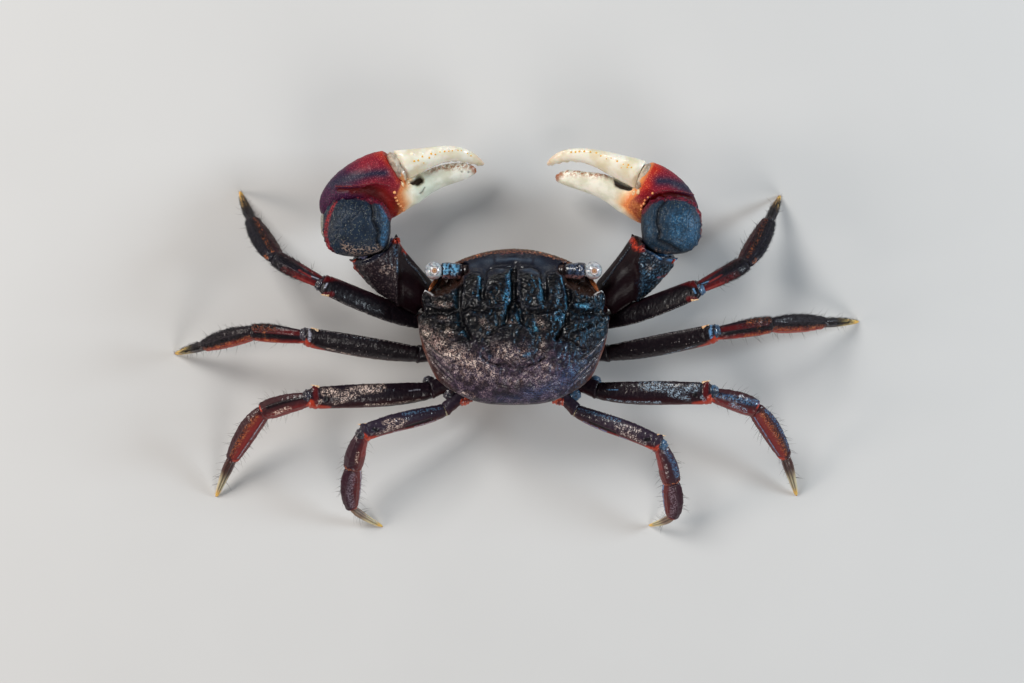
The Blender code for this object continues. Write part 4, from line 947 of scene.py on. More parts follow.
def dress_eye(letter, side, sky):
    eye = plate_from("eye_" + letter, 0.08, 14, swell=0.05)
    middle = from_body(EYE_MIDDLE * (side, 1, 1))
    outward = unit(points_of(eye) - middle)
    top = points_of(eye)[np.argmax(outward @ EYE_DOT_WAY[letter])]
    mark(eye, "low", rising(-outward[:, 1], 0.5, 0.85))
    owned(eye, eye_finish(letter, tuple(top)), "eye", "eye_" + letter)
    stalk = plate_from("eyestalk_" + letter, 0.1, 14, swell=0.06)
    place, normals = place_of(stalk), normals_of(stalk)
    share = (np.abs(place[:, 0]) - STALK_ROOT[0]) / (EYE_MIDDLE[0] - STALK_ROOT[0])
    folds = 0.12 * cloud(place, 0.9, 21) + 0.05 * cloud(place, 0.4, 22)
    waist = 0.2 * bell(share - 0.5, 0.22) - 0.5 * (1 - rising(share, 0, 0.2))
    waist -= 0.12 * bell(share - 0.78, 0.06)
    raise_points(stalk, folds + waist)
    mark(stalk, "top", rising(normals[:, 2], 0.1, 0.8) * rising(share, 0.18, 0.32))
    mark(stalk, "skirt", rising(-normals[:, 1], 0.35, 0.8))
    mark(stalk, "root", 1 - rising(share, 0.1, 0.26))
    owned(stalk, stalk_finish(letter, sky), "shell", "eyestalk_" + letter)
    middle = from_body(STALK_ROOT * (side, 1, 1) + (side * 0.3, 0, -0.3))
    halves = (1.5 * MM, 1.2 * MM, 1.4 * MM)
    root = joint_skin("stalk_root_" + letter, middle, (1, 0, 0), (0, 0, 1), halves, 0.05)
    owned(root, root_skin, "shell")
    line = np.array(ORBIT_ROD) * (side, 1, 1)
    for name, shift, radius, skin in (("rod", 0, 0.42, rod_skin), ("lining", -0.55, 0.55, root_skin)):
        radii = np.array([0.85, 1, 1, 0.9, 0.6]) * radius * MM
        piece = rod(f"orbit_{name}_{letter}", from_body(line + (side * shift, 0, shift)), radii)
        raise_points(piece, 0.06 * cloud(points_of(piece) / MM, 0.7, 23))
        owned(piece, skin, "shell")


rod_skin = rod_finish()
root_skin = skin_finish("stalk_root", (58, 38, 34), (20, 14, 16))
dress_eye("l", -1, (98, 158, 194))
dress_eye("r", 1, (52, 66, 92))
print("eyes, stalks and rods dressed")

# %% [markdown]
# A claw opens in a plane that leans back towards the crab, so its places are easiest to read from
# the fork of its fingers: so far along the way the palm points, so far ahead of it. These lines
# trace, from above, where red gives way to cream, the granular crest, the deep red hollow under it,
# the slate band over it, the pit at the finger's root and the worn cutting edge.

# %% Claw places and lines
CLAW_LEAN = math.radians(42)
CLAWS = {
    "l": {
        "side": 1, "fork": (-25.1, 29.9, 12.5), "heading": 25,
        "cream_from": ((-6.8, -1.9), (-5.5, -0.2), (-3.2, 0.1), (-2.0, 1.5), (-0.6, 2.6), (0.9, 2.8),
                       (4.4, 2.3), (6.4, 1.6)),
        "hinge": ((-2.0, 3.2), (0.0, 3.7), (2.3, 3.3), (4.6, 2.9), (6.4, 2.7)),
        "crest": ((-10.7, 3.7), (-8.3, 2.5), (-6.0, 1.7), (-4.8, 1.4), (-2.9, 0.8), (-1.7, -0.1),
                  (-0.7, -0.8)),
        "hollow": ((((-10.6, 2.9), (-8.0, 1.5)), 0.8, 0.5), (((-8.0, 1.4), (-5.0, 0.0)), 1.0, 0.9),
                   (((-5.0, 0.0), (-2.9, -1.8), (-2.3, -4.0), (-2.2, -6.4)), 1.0, 1.4)),
        "slate": ((-11.2, 4.4), (-8.8, 4.4), (-5.3, 3.4), (-2.4, 2.7), (-0.6, 1.9)),
        "ochre": (((0.4, -3.2), (0.5, -4.6), (-0.6, -6.2)), 0.5, 1.0),
        "beads": ((-0.4, -2.4), (-0.7, -3.4), (-0.7, -4.0), (-0.7, -4.7), (-0.6, -5.2), (-0.4, -5.7),
                  (-0.4, -6.2)),
        "pit": ((4.0, -1.8), (5.2, -1.6), (5.5, -2.2), (4.6, -2.4)),
        "slit": ((5.7, -3.9), (4.2, -4.6)),
        "knobs": ((2.8, -1.4), (1.7, -1.4), (2.2, 6.2)),
        "worn": ((7.0, -1.0), (9.0, -0.9), (10.8, -1.6), (13.1, -2.5), (15.5, -3.5), (16.5, -4.3),
                 (17.2, -5.8)),
        "dark_pits": ((14.0, -4.1), (15.2, -4.7)),
        "yellow": ((6.0, 1.7), (6.8, 1.5), (7.9, 1.9), (9.1, 1.1), (9.8, 1.7), (10.5, 1.2), (11.6, 1.3),
                   (12.5, 1.0), (13.3, 0.7), (14.0, 0.5), (15.1, 0.1), (15.7, -0.2), (7.6, 0.6),
                   (16.6, -1.2), (17.1, -1.9)),
        "shoulder": (-18.2, 5.6, 11.3), "elbow": (-29.3, 16.4, 13.8),
    },
    "r": {
        "side": -1, "fork": (27.2, 27.8, 12.5), "heading": 24,
        "cream_from": ((-6.6, -2.1), (-5.4, 0.0), (-4.3, 2.4), (-2.7, 2.3), (-1.1, 1.7), (0.4, 1.5),
                       (2.5, 1.4), (6.4, 1.0)),
        "hinge": ((-0.2, 2.2), (1.0, 2.4), (2.6, 2.5), (4.5, 2.3), (6.1, 1.4)),
        "crest": ((-9.3, 3.5), (-6.9, 2.9), (-4.6, 2.2), (-2.6, 1.2), (-1.6, 0.0), (-0.9, -1.5),
                  (-0.7, -2.9)),
        "hollow": ((((-9.3, 2.6), (-6.9, 2.0), (-4.6, 1.2), (-3.2, 0.1)), 1.0, 0.8),
                   (((-3.2, 0.1), (-2.3, -1.4), (-2.0, -3.6)), 1.0, 0.9)),
        "slate": ((-1.6, 2.9), (-3.5, 3.7), (-6.0, 4.0), (-8.3, 4.3)),
        "ochre": (((2.2, -3.6), (-0.2, -3.4), (-0.8, -5.4), (1.0, -4.8)), 0.9, 1.2),
        "beads": ((-1.4, 0.1), (-0.9, -1.0), (-0.6, -1.8), (-0.7, -2.5), (-0.5, -3.1), (-0.7, -3.7)),
        "pit": ((6.3, 0.0), (4.9, -0.4), (3.4, -0.4), (4.9, -0.8), (6.0, -0.7)),
        "slit": ((3.0, -0.3), (3.6, -0.35)),
        "knobs": ((2.0, -1.2), (1.3, -0.7)),
        "worn": ((17.9, -4.3), (17.2, -3.3), (16.2, -2.6), (14.9, -2.0), (13.2, -1.5), (11.8, -1.1),
                 (9.8, -0.4), (8.0, 0.5)),
        "dark_pits": (),
        "yellow": ((17.3, 1.2), (16.5, 1.6), (15.8, 2.0), (14.9, 2.4), (13.7, 2.8), (12.5, 3.1),
                   (11.4, 2.9), (10.1, 2.8), (9.3, 3.3), (7.9, 3.2), (6.5, 3.1), (5.5, 3.4), (4.7, 3.2),
                   (6.6, 2.3), (5.5, 2.9)),
        "shoulder": (18.6, 5.5, 11.3), "elbow": (29.4, 16.7, 13.8),
    },
}


def claw_axes(claw):
    """The fork, and the ways along the palm, ahead in plan, up in the claw's plane and off its face."""
    heading, side = math.radians(claw["heading"]), claw["side"]
    along = np.array([math.cos(heading) * side, math.sin(heading), 0])
    ahead = np.array([-math.sin(heading) * side, math.cos(heading), 0])
    up = ahead * math.cos(CLAW_LEAN) + np.array([0, 0, math.sin(CLAW_LEAN)])
    face = -ahead * math.sin(CLAW_LEAN) + np.array([0, 0, math.cos(CLAW_LEAN)])
    return from_body(claw["fork"]), along, ahead, up, face


def claw_plan(points, claw):
    """Places counted from the fork in millimetres: along the palm, and ahead of it."""
    fork, along, ahead, _, _ = claw_axes(claw)
    return np.column_stack([(points - fork) @ along, (points - fork) @ ahead]) / MM


def from_claw(plan_places, claw):
    """The same places counted from the body, for lowering beads on the claw."""
    fork, along, ahead, _, _ = claw_axes(claw)
    plan = np.array(plan_places, float)
    spots = fork + (np.outer(plan[:, 0], along) + np.outer(plan[:, 1], ahead)) * MM
    return (spots - BODY)[:, :2] / MM


def beyond_line(plan, line):
    """How far along a claw each place lies past a line that crosses it."""
    line = np.array(line)
    return plan[:, 0] - np.interp(plan[:, 1], line[:, 0], line[:, 1])


print("claw lines:", {name: len(claw["crest"]) for name, claw in CLAWS.items()})

# %% [markdown]
# The palm is crimson, orange-red towards the joint and purple at its far end, with a slate band in
# the middle of its face. Under the crest it falls into a hollow, painted dark red as shade, with a
# painted brighter red glow in its part nearer the fingers. Everything red is finely granular. Past
# an orange edge come the cream fingers, greenish on the fixed one: its cutting edge is rusty, with
# pits painted dark as shade, and its tip is brown horn. The pit and slit at the finger's root are
# painted dark as shade too.

# %% Palms with their fixed fingers
PALM_REACH = 1.1
CREST_BEADS = 54


def granules(place, size, seed):
    """Close-set round grains, from 0 between them to 1 on their crowns."""
    return np.clip(cloud(place, size, seed) + 0.35 * cloud(place, size * 0.6, seed + 1), 0, 1)


def palm_finish():
    finish = Finish("palm_red_to_cream", 0.5, coat_roughness=0.25, bleed=0.08, bleed_reach=0.5, gloss=0.18)
    fine = finish.noise(0.4, 4)
    broad = finish.noise(3, 3)
    grains = (1 - finish.cells(0.32)).above(0.5, 0.85) * fine.above(0.35, 0.6)
    finish.base = finish.mix((124, 18, 38), (190, 62, 72), grains)
    finish.lay(finish.mix((52, 16, 48), (110, 44, 86), grains), finish.mark("far"))
    finish.lay(finish.mix((176, 38, 26), (232, 108, 62), grains), finish.mark("near"))
    finish.lay(finish.mix((34, 30, 52), (96, 84, 100), grains * 0.8), finish.mark("slate"))
    # The hollow under the crest, painted dark red as shade, and a painted red glow in it nearer the
    # fingers.
    finish.lay((74, 4, 6), finish.mark("hollow"))
    finish.lay((160, 20, 10), finish.mark("glow") * 0.8)
    finish.lay((128, 30, 38), finish.mark("crest") * fine.above(0.46, 0.62) * 0.5)
    cream = finish.mix((218, 216, 194), (246, 243, 228), broad.above(0.35, 0.6))
    cream = finish.mix(cream, (214, 230, 212), finish.mark("mint") * 0.6)
    cream = finish.mix(cream, (206, 160, 108), fine.above(0.62, 0.76) * 0.3)
    finish.lay(cream, finish.mark("cream"))
    finish.lay((240, 186, 122), finish.mark("peach") * 0.85)
    finish.lay(finish.mix((206, 86, 40), (236, 150, 86), fine), finish.mark("warm"))
    ochre = finish.mix((170, 84, 38), (228, 156, 92), fine.above(0.3, 0.75))
    finish.lay(ochre, finish.mark("ochre") * 0.8)
    finish.lay((164, 98, 52), finish.mark("worn") * finish.noise(0.7, 4, 0.7).above(0.42, 0.58) * 0.85)
    finish.lay((146, 74, 34), finish.mark("tip") * 0.8)
    # The pit and slit at the finger's root and the pits of the cutting edge, painted dark as shade.
    finish.lay(finish.mix((28, 20, 18), (70, 52, 42), fine), finish.mark("pit"))
    finish.set("Roughness", 0.36 + 0.3 * fine)
    finish.set("Coat Weight", 0.04 + 0.3 * finish.mark("cream") + 0.3 * grains * finish.mark("slate"))
    finish.bump(grains * (1 - finish.mark("cream")) + 0.4 * fine, 0.05)
    return finish.done()


def carve_palm(obj, claw):
    points, normals = points_of(obj), normals_of(obj)
    plan = claw_plan(points, claw)
    place = (points - BODY) / MM
    along = claw_axes(claw)[1]
    lit = rising(normals[:, 2], -0.1, 0.3)
    beyond = beyond_line(plan, claw["cream_from"])
    cream = rising(beyond + 0.35 * cloud(place, 0.9, 31), -0.1, 0.7)
    crest_away = away_from(plan, claw["crest"])
    crest = bell(crest_away, 0.3) * lit
    hollow = relief_of(plan, claw["hollow"]) * rising(crest_away, 0.1, 0.6) * lit
    ragged = plan + 0.15 * np.column_stack([cloud(place, 0.7, seed) for seed in (45, 46)])
    pit = rising(bell(away_from(ragged, claw["pit"]), 0.72), 0.2, 0.75) * lit
    slit = 0.7 * bell(away_from(ragged, claw["slit"]), 0.17) * lit
    worn = bell(away_from(plan, claw["worn"]), 0.8) * rising(plan[:, 0], 6.5, 8)
    deep = np.zeros(len(plan))
    for spot in claw["dark_pits"]:
        deep += 0.8 * bell(np.linalg.norm(plan - np.array(spot), axis=1), 0.2)
    red = 1 - cream
    height = 0.07 * granules(place, 0.42, 33) * red + 0.2 * crest * (0.35 + 0.65 * granules(place, 0.5, 35))
    height -= 0.5 * hollow * red + 0.7 * pit + 0.3 * deep + 0.25 * slit
    height += worn * 0.1 * cloud(place, 0.45, 37) + 0.02 * cloud(place, 0.8, 39) * cream
    height += 0.07 * granules(place, 0.75, 41) * bell(beyond - 0.4, 2.2)
    at_joint = rising(plan[:, 1], 0.3, 1.6) * rising(beyond, -2.2, -0.6)
    moved = points + normals * height[:, None] * MM + np.outer(at_joint * PALM_REACH * MM, along)
    move_points(obj, moved)
    last = plan[:, 0].max()
    beyond = beyond_line(claw_plan(moved, claw), claw["cream_from"])
    above_crest = rising(plan[:, 1], -2.2, 0.6)
    mark(obj, "cream", cream)
    mark(obj, "far", 1 - rising(plan[:, 0] + 0.8 * cloud(place, 2.0, 42), -8.5, -3.0))
    mark(obj, "near", rising(beyond + 0.5 * cloud(place, 1.2, 43), -3.0, -0.7) * above_crest)
    mark(obj, "warm", bell(beyond - 0.1, 0.4 + 0.5 * (1 - above_crest)) * rising(beyond, -1.0, -0.2) * 0.9)
    mark(obj, "peach", bell(beyond - 0.6, 0.9 + 0.9 * (1 - above_crest)) * rising(beyond, -0.6, 0.3))
    mark(obj, "mint", bell(plan[:, 0] - 6.0, 3.0) * (claw["side"] + 1.4) / 2.4)
    mark(obj, "crest", crest)
    # The hollow is painted dark as shade, its glow lighter.
    mark(obj, "hollow", hollow * 1.3 * red)
    mark(obj, "glow", hollow * red * rising(plan[:, 0], -4.5, -0.5))
    mark(obj, "ochre", relief_of(plan, [claw["ochre"]]) * rising(cloud(place, 1.3, 44), -0.9, 0.6))
    mark(obj, "pit", np.maximum(np.maximum(pit, deep), slit))
    mark(obj, "worn", worn)
    mark(obj, "tip", rising(plan[:, 0], last - 1.5, last - 0.5))
    mark(obj, "slate", red * bell(away_from(plan, claw["slate"]), 1.15) * lit + red * (1 - lit) * 0.4)


palm_skin = palm_finish()
palms = {}
for letter, claw in CLAWS.items():
    palm = plate_from(f"claw_{letter}_palm", 0.17, 8)
    carve_palm(palm, claw)
    owned(palm, palm_skin, "claw", f"claw_{letter}_palm")
    palms[letter] = palm
    found = dropped_on(palm, from_claw(claw["beads"], claw))
    beads = scattered(f"palm_bead_row_{letter}", BEAD, found, 0.24, 0.34)
    owned(beads, bead_finish(f"bead_orange_{letter}", (246, 186, 120), (220, 104, 56)), "claw")
    found = dropped_on(palm, from_claw(spaced_along(claw["crest"], CREST_BEADS), claw))
    ridge = scattered(f"palm_crest_{letter}", SMALL_BEAD, found, 0.08, 0.15)
    owned(ridge, bead_finish(f"crest_worn_{letter}", (134, 30, 38), (84, 12, 26)), "claw")
    print("palm", letter, "points", len(palm.data.vertices))

# %% [markdown]
# The movable finger is smooth cream horn, a little browner at its tip and on its cutting edge. A
# row of yellow-orange grains runs along its back. At its hinge it ends in a line that slants across
# the claw, with the palm's orange edge, a strip of grey skin and then the cream, and knobs at the
# two ends of that line.

# %% Movable fingers
def finger_finish():
    finish = Finish("finger_cream", 0.3, coat=0.35, coat_roughness=0.1, bleed=0.15, bleed_reach=0.8)
    fine = finish.noise(0.5, 4)
    broad = finish.noise(3.5, 2)
    finish.base = finish.mix((226, 214, 182), (246, 240, 224), broad.above(0.35, 0.65))
    finish.lay((206, 160, 104), fine.above(0.62, 0.76) * finish.mark("stained") * 0.5)
    finish.lay((178, 128, 74), finish.mark("bite") * 0.6)
    finish.lay((190, 140, 84), finish.mark("tip") * 0.5)
    finish.lay((150, 128, 110), finish.mark("skin") * 0.8)
    finish.lay(finish.mix((206, 104, 56), (238, 186, 120), fine), finish.mark("edge"))
    finish.set("Roughness", 0.22 + 0.22 * fine)
    finish.bump(fine, 0.02)
    return finish.done()


finger_skin = finger_finish()
yellow_skin = bead_finish("grain_yellow", (240, 196, 62), (226, 160, 44), 0.5, 0.05)
knob_skin = bead_finish("knob_cream", (236, 214, 176), (214, 160, 104))
for letter, claw in CLAWS.items():
    finger = plate_from(f"claw_{letter}_finger", 0.13, 8)
    points, normals = points_of(finger), normals_of(finger)
    up = claw_axes(claw)[3]
    plan = claw_plan(points, claw)
    place = (points - BODY) / MM
    last = plan[:, 0].max()
    past = beyond_line(plan, claw["hinge"])
    biting = rising(-normals @ up, 0.45, 0.85)
    height = 0.025 * cloud(place, 0.9, 43) + 0.03 * biting * cloud(place, 0.5, 44)
    height -= 0.3 * bell(past + 0.3, 0.3)
    raise_points(finger, height)
    mark(finger, "tip", rising(plan[:, 0], last - 2.2, last - 0.2))
    mark(finger, "bite", biting * rising(plan[:, 0], 5.5, 8))
    mark(finger, "skin", bell(past + 0.35, 0.4))
    mark(finger, "edge", 1 - rising(past, -1.1, -0.7))
    mark(finger, "stained", bell(plan[:, 0] - 8, 6))
    owned(finger, finger_skin, "claw_finger", f"claw_{letter}_finger")
    places, ways = dropped_on(finger, from_claw(claw["yellow"], claw))
    sunk = (places - ways * 0.02 * MM, ways)
    grains = scattered(f"finger_grains_{letter}", BEAD, sunk, 0.13, 0.23, 0.7)
    owned(grains, yellow_skin, "claw_finger")
    for number, spot in enumerate(claw["knobs"]):
        places, ways = dropped_on(palms[letter], from_claw([spot], claw))
        if len(places):
            knob = joined_copies(f"palm_knob_{letter}_{number}", BEAD, places, ways, 0.62 * MM, 0.42 * MM)
            owned(knob, knob_skin, "claw")
    print("finger", letter, "points", len(finger.data.vertices))

# %% [markdown]
# The skin between finger and palm is grey and lies flush with both, so the ball is wide and thin.

# %% Hinges of the fingers
HINGE_PLACE = {"l": 2.1, "r": 1.5}
grey_skin = skin_finish("hinge_skin", (200, 186, 166), (146, 128, 112), roughness=0.45, coat=0.15)
for letter, claw in CLAWS.items():
    fork, along, _, up, face = claw_axes(claw)
    middle = fork + (along * HINGE_PLACE[letter] + up * 3.5 + face * 0.15) * MM
    hinge = joint_skin(f"claw_hinge_{letter}", middle, along, up, (1.35 * MM, 3.5 * MM, 2.5 * MM), 0.04)
    owned(hinge, grey_skin, "claw_finger")
print("finger hinges closed")

# %% [markdown]
# The wrist block of each claw is dark slate leather with fine sweeping wrinkles and pale grains. Its
# upward faces are painted a lighter blue than its sides, as painted light and shade, and its wrinkles
# and folds are painted near-black as shade. A red margin runs down its outer side and a pink-red
# flange with low teeth over its top. The left one has a fold near its right edge, with a painted blue
# highlight band behind it, and a worn beige patch at its foot. The right one is bluer, a painted blue
# reflection, with its fold on the left and a broad painted blue highlight. All of these are lines
# from the middle of the block.

# %% Wrists
WRISTS = {
    "l": {
        "middle": (-32.2, 20.5), "blue": (30, 46, 64), "dark": (17, 22, 34),
        "fold": (((3.0, 5.2), (3.6, 3.1), (3.5, 1.2), (4.3, -0.3), (4.8, -1.5), (4.3, -2.9), (4.8, -4.8)),
                 1.0, 0.4),
        "gleam": ((((5.1, 4.4), (6.0, 2.6), (6.1, 0.2), (5.8, -1.7), (5.4, -3.6)), 0.9, 0.8),),
        "patch": ((((-2.1, -4.4), (-0.4, -5.2), (1.3, -5.2), (3.0, -5.0), (4.5, -4.6)), 1.0, 0.8),
                  (((-2.6, -3.6), (-1.0, -4.3)), 0.8, 0.5)),
        "margin": ((-4.3, 5.0), (-5.5, 2.6), (-6.1, 0.7), (-6.3, -1.7), (-5.7, -4.1), (-4.7, -5.8)),
        "flange": ((-4.0, 6.2), (-1.1, 6.4), (1.3, 6.0), (3.2, 5.3), (5.1, 4.8), (6.1, 3.6), (6.8, 1.9)),
    },
    "r": {
        "middle": (32.4, 20.8), "blue": (36, 62, 84), "dark": (15, 22, 33),
        "fold": (((-1.4, 5.0), (-2.9, 3.1), (-3.2, 0.4), (-2.6, -1.8), (-2.9, -3.2), (-0.9, -4.2),
                  (1.5, -5.4)), 0.9, 0.5),
        "gleam": ((((0.6, 1.0), (2.6, 1.4), (4.4, 0.2), (4.3, -2.6), (2.4, -3.6), (1.0, -1.6)), 0.65, 1.5),
                  (((-4.8, 1.0), (-4.6, -1.8)), 0.3, 0.6)),
        "patch": ((((-3.3, -5.1), (-2.6, -5.3)), 0.9, 0.4), (((-1.2, -5.6), (-0.5, -5.6)), 0.8, 0.4)),
        "margin": ((5.1, 3.1), (6.1, 1.6), (6.6, -0.1), (6.4, -2.7), (5.6, -5.1), (3.9, -6.1)),
        "flange": ((-5.8, 2.8), (-4.3, 4.7), (-1.9, 5.5), (0.8, 5.7), (2.9, 5.2), (4.6, 4.1)),
    },
}


def wrist_finish(letter, blue, dark):
    finish = Finish("wrist_slate_" + letter, 0.4, coat_roughness=0.2, gloss=0.2)
    fine = finish.noise(0.4, 4)
    broad = finish.noise(2.5, 3)
    grains = (1 - finish.cells(0.36)).above(0.6, 0.85)
    # Upward faces painted lighter blue and sides darker: painted light and shade.
    finish.base = finish.mix(dark, blue, finish.mark("crown") * (0.15 + 0.9 * broad))
    # A painted blue highlight band.
    finish.lay((64, 118, 158), finish.mark("gleam") * (0.2 + 0.7 * fine.above(0.42, 0.6)))
    finish.lay((140, 144, 122), grains * fine.above(0.45, 0.62) * finish.mark("crown") * 0.6)
    # Creases and folds painted near-black as shade.
    finish.lay((9, 12, 20), finish.mark("crease"))
    finish.lay((172, 148, 134), finish.mark("patch") * fine.above(0.48, 0.58) * 0.9)
    stain = fine.above(0.36, 0.64)
    finish.lay(finish.mix((40, 10, 24), (142, 32, 40), stain), finish.mark("rim"))
    finish.lay(finish.mix((36, 8, 24), (116, 26, 46), stain), finish.mark("flange"))
    finish.set("Coat Weight", 0.04 + 0.4 * grains * fine.above(0.42, 0.6))
    finish.set("Roughness", 0.34 + 0.25 * fine)
    finish.bump(grains * 0.5 + fine, 0.05)
    return finish.done()


def carve_wrist(obj, wrist):
    place, normals = place_of(obj), normals_of(obj)
    plan = place[:, :2] - wrist["middle"]
    crown = rising(normals[:, 2], 0.15, 0.6)
    wander = np.column_stack([cloud(place, 2.2, seed) for seed in (61, 62, 63)])
    creases = np.clip(1 - np.abs(cloud((place + wander) * (1, 0.45, 0.6), 0.75, 64)) * 3.4, 0, 1)
    worms = 1 - np.abs(cloud((place + wander * 0.6) * (1, 0.6, 0.8), 0.42, 65)) * 2.4
    fold = relief_of(plan, [wrist["fold"]])
    ragged = plan + 0.25 * wander[:, :2]
    margin = bell(away_from(ragged, wrist["margin"]), 0.44)
    flange = bell(away_from(ragged, wrist["flange"]), 0.6)
    edges = np.maximum(margin, flange)
    calm = (1 - edges) * crown
    height = 0.05 * np.clip(worms, -1, 1) * calm - 0.1 * creases * calm - 0.5 * fold * crown
    beside = plan + (0.8 * np.sign(wrist["middle"][0]), 0)
    height += 0.3 * bell(away_from(beside, wrist["fold"][0]), 0.5) * calm
    patch = relief_of(plan, wrist["patch"])
    height += edges * (0.08 + 0.3 * granules(place, 0.6, 66)) + 0.12 * patch * calm
    raise_points(obj, height)
    high = rising(place[:, 2], 9.5, 12.5)
    mark(obj, "crown", crown)
    mark(obj, "crease", np.maximum(creases * 0.45 * calm, fold * 0.95 * crown))
    mark(obj, "rim", rising(margin, 0.1, 0.85) * high)
    mark(obj, "flange", rising(flange, 0.15, 0.85) * high)
    mark(obj, "gleam", relief_of(plan, wrist["gleam"]) * crown)
    mark(obj, "patch", patch * rising(normals[:, 2], -0.1, 0.3))


for letter, wrist in WRISTS.items():
    block = plate_from(f"claw_{letter}_carpus", 0.15, 16, swell=0.05)
    carve_wrist(block, wrist)
    finish = wrist_finish(letter, wrist["blue"], wrist["dark"])
    owned(block, finish, "claw_arm", f"claw_{letter}_carpus")
    print("wrist", letter, "points", len(block.data.vertices))
PALE_EDGE_LINE = ((-38.4, 25.2, 13.2), (-39.3, 22.6, 13.4), (-39.2, 19.4, 13.6), (-38.3, 17.2, 13.8))
radii = np.array([0.15, 0.5, 0.6, 0.5, 0.15]) * MM
pale_rod = rod("wrist_pale_edge", from_body(PALE_EDGE_LINE), radii)
owned(pale_rod, bead_finish("pale_skin", (150, 150, 138), (98, 96, 92), 0.5, 0.1), "claw_arm")

# %% [markdown]
# A limb's section changes along its length, so its colours and relief follow two measures: how far
# along it a point lies and how near its crest. The second is read from the mesh in short stations,
# with the limits of each station taken as its own edges.

# %% Measures along a limb
def limb_measures(points, start, end, crest, stations=28):
    """How far along the limb and how near its crest each point lies, both from 0 to 1."""
    way = unit(np.subtract(end, start))
    over = unit(crest - way * (crest @ way))
    distance, offset = ((points - np.asarray(start)) @ direction for direction in (way, over))
    low, high = distance.min(), distance.max()
    along = (distance - low) / (high - low)
    middles, lows, highs = [], [], []
    for middle in (np.arange(stations) + 0.5) / stations:
        inside = np.abs(along - middle) < 0.8 / stations
        if inside.any():
            middles.append(middle)
            lows.append(offset[inside].min())
            highs.append(offset[inside].max())
    least, most = np.interp(along, middles, lows), np.interp(along, middles, highs)
    return along, (offset - least) / np.maximum(most - least, 1e-6)


def crest_way(start, end, lean_degrees, side):
    """The way to a leg's crest, leaned from upright towards its front edge."""
    heading = unit(np.subtract(end, start) * (1, 1, 0))
    forward = np.array([-heading[1], heading[0], 0]) * side
    lean = math.radians(lean_degrees)
    return np.array([0, 0, math.cos(lean)]) + forward * math.sin(lean)


def farthest(obj, way):
    """The point of an object that lies farthest along a way."""
    points = points_of(obj)
    return points[np.argmax(points @ way)]


print("measures ready")

# %% [markdown]
# The arm of a claw is three-sided. Seen from above a ridge parts its outer face, which is grey-brown
# and rugose on the left arm and dark blue and granular on the right, its specks there painted light
# blue as a reflection, from the inner face, which is smooth and nearly black with a maroon cast. Blue
# highlights are painted near the ridge. Its far rim has red corners, the inner edge carries small dark
# beads, and a folded skin shows under the wrist, dark with painted glints on the crests of its folds,
# blue-violet on the left and bright blue on the right.

# %% Arms of the claws
FOLD_REACH = 8.0
ARM_BEADS = 20
ARM_HEIGHT = 15
# Per arm: sky lines for painted blue highlights, and the fold's dark tone with the tone of its painted
# glints.
ARMS = {
    "l": {
        "wrist_block": (-32.2, 20.5),
        "ridge": ((-24.0, 17.0), (-24.0, 14.0), (-24.0, 11.6), (-23.9, 8.0), (-23.7, 3.9)),
        "inner": ((-21.2, 15.7), (-19.6, 13.8), (-17.9, 11.9), (-16.5, 9.9)),
        "red": ((((-24.5, 17.5), (-22.4, 17.0), (-22.3, 15.6)), 1.0, 0.9),
                (((-33.9, 13.4), (-32.3, 11.6)), 1.0, 0.7), (((-32.3, 11.6), (-31.0, 10.2)), 0.6, 0.4)),
        "pale": ((((-26.6, 12.4), (-24.8, 12.0)), 0.9, 0.4), (((-27.2, 11.4), (-25.2, 10.8)), 0.7, 0.35)),
        "sky": ((((-24.1, 13.4), (-23.9, 11.0)), 0.8, 0.22), (((-24.6, 16.4), (-24.4, 14.4)), 0.6, 0.25)),
        "outer": (30, 22, 28), "speck": (98, 84, 84), "fold": ((20, 20, 34), (104, 106, 142)),
    },
    "r": {
        "wrist_block": (32.4, 20.8),
        "ridge": ((26.8, 17.0), (26.5, 15.5), (25.8, 13.1), (26.1, 11.1), (25.6, 6.8), (25.1, 4.1)),
        "inner": ((23.4, 17.0), (21.2, 14.2), (19.1, 11.6), (17.3, 9.4)),
        "red": ((((24.4, 18.0), (25.0, 16.2), (26.4, 15.8)), 1.0, 0.9),
                (((34.3, 13.8), (33.0, 11.9)), 1.0, 0.5),
                (((33.0, 11.9), (31.0, 10.5), (29.6, 10.2)), 0.7, 0.35)),
        "pale": ((((27.6, 12.2), (28.2, 11.9)), 0.7, 0.35),),
        "sky": ((((26.6, 11.4), (28.2, 10.4), (30.2, 10.2)), 0.9, 0.45),
                (((26.2, 9.0), (27.4, 7.6)), 0.4, 0.8)),
        "outer": (16, 22, 32), "speck": (74, 108, 132), "fold": ((14, 24, 40), (70, 122, 170)),
    },
}


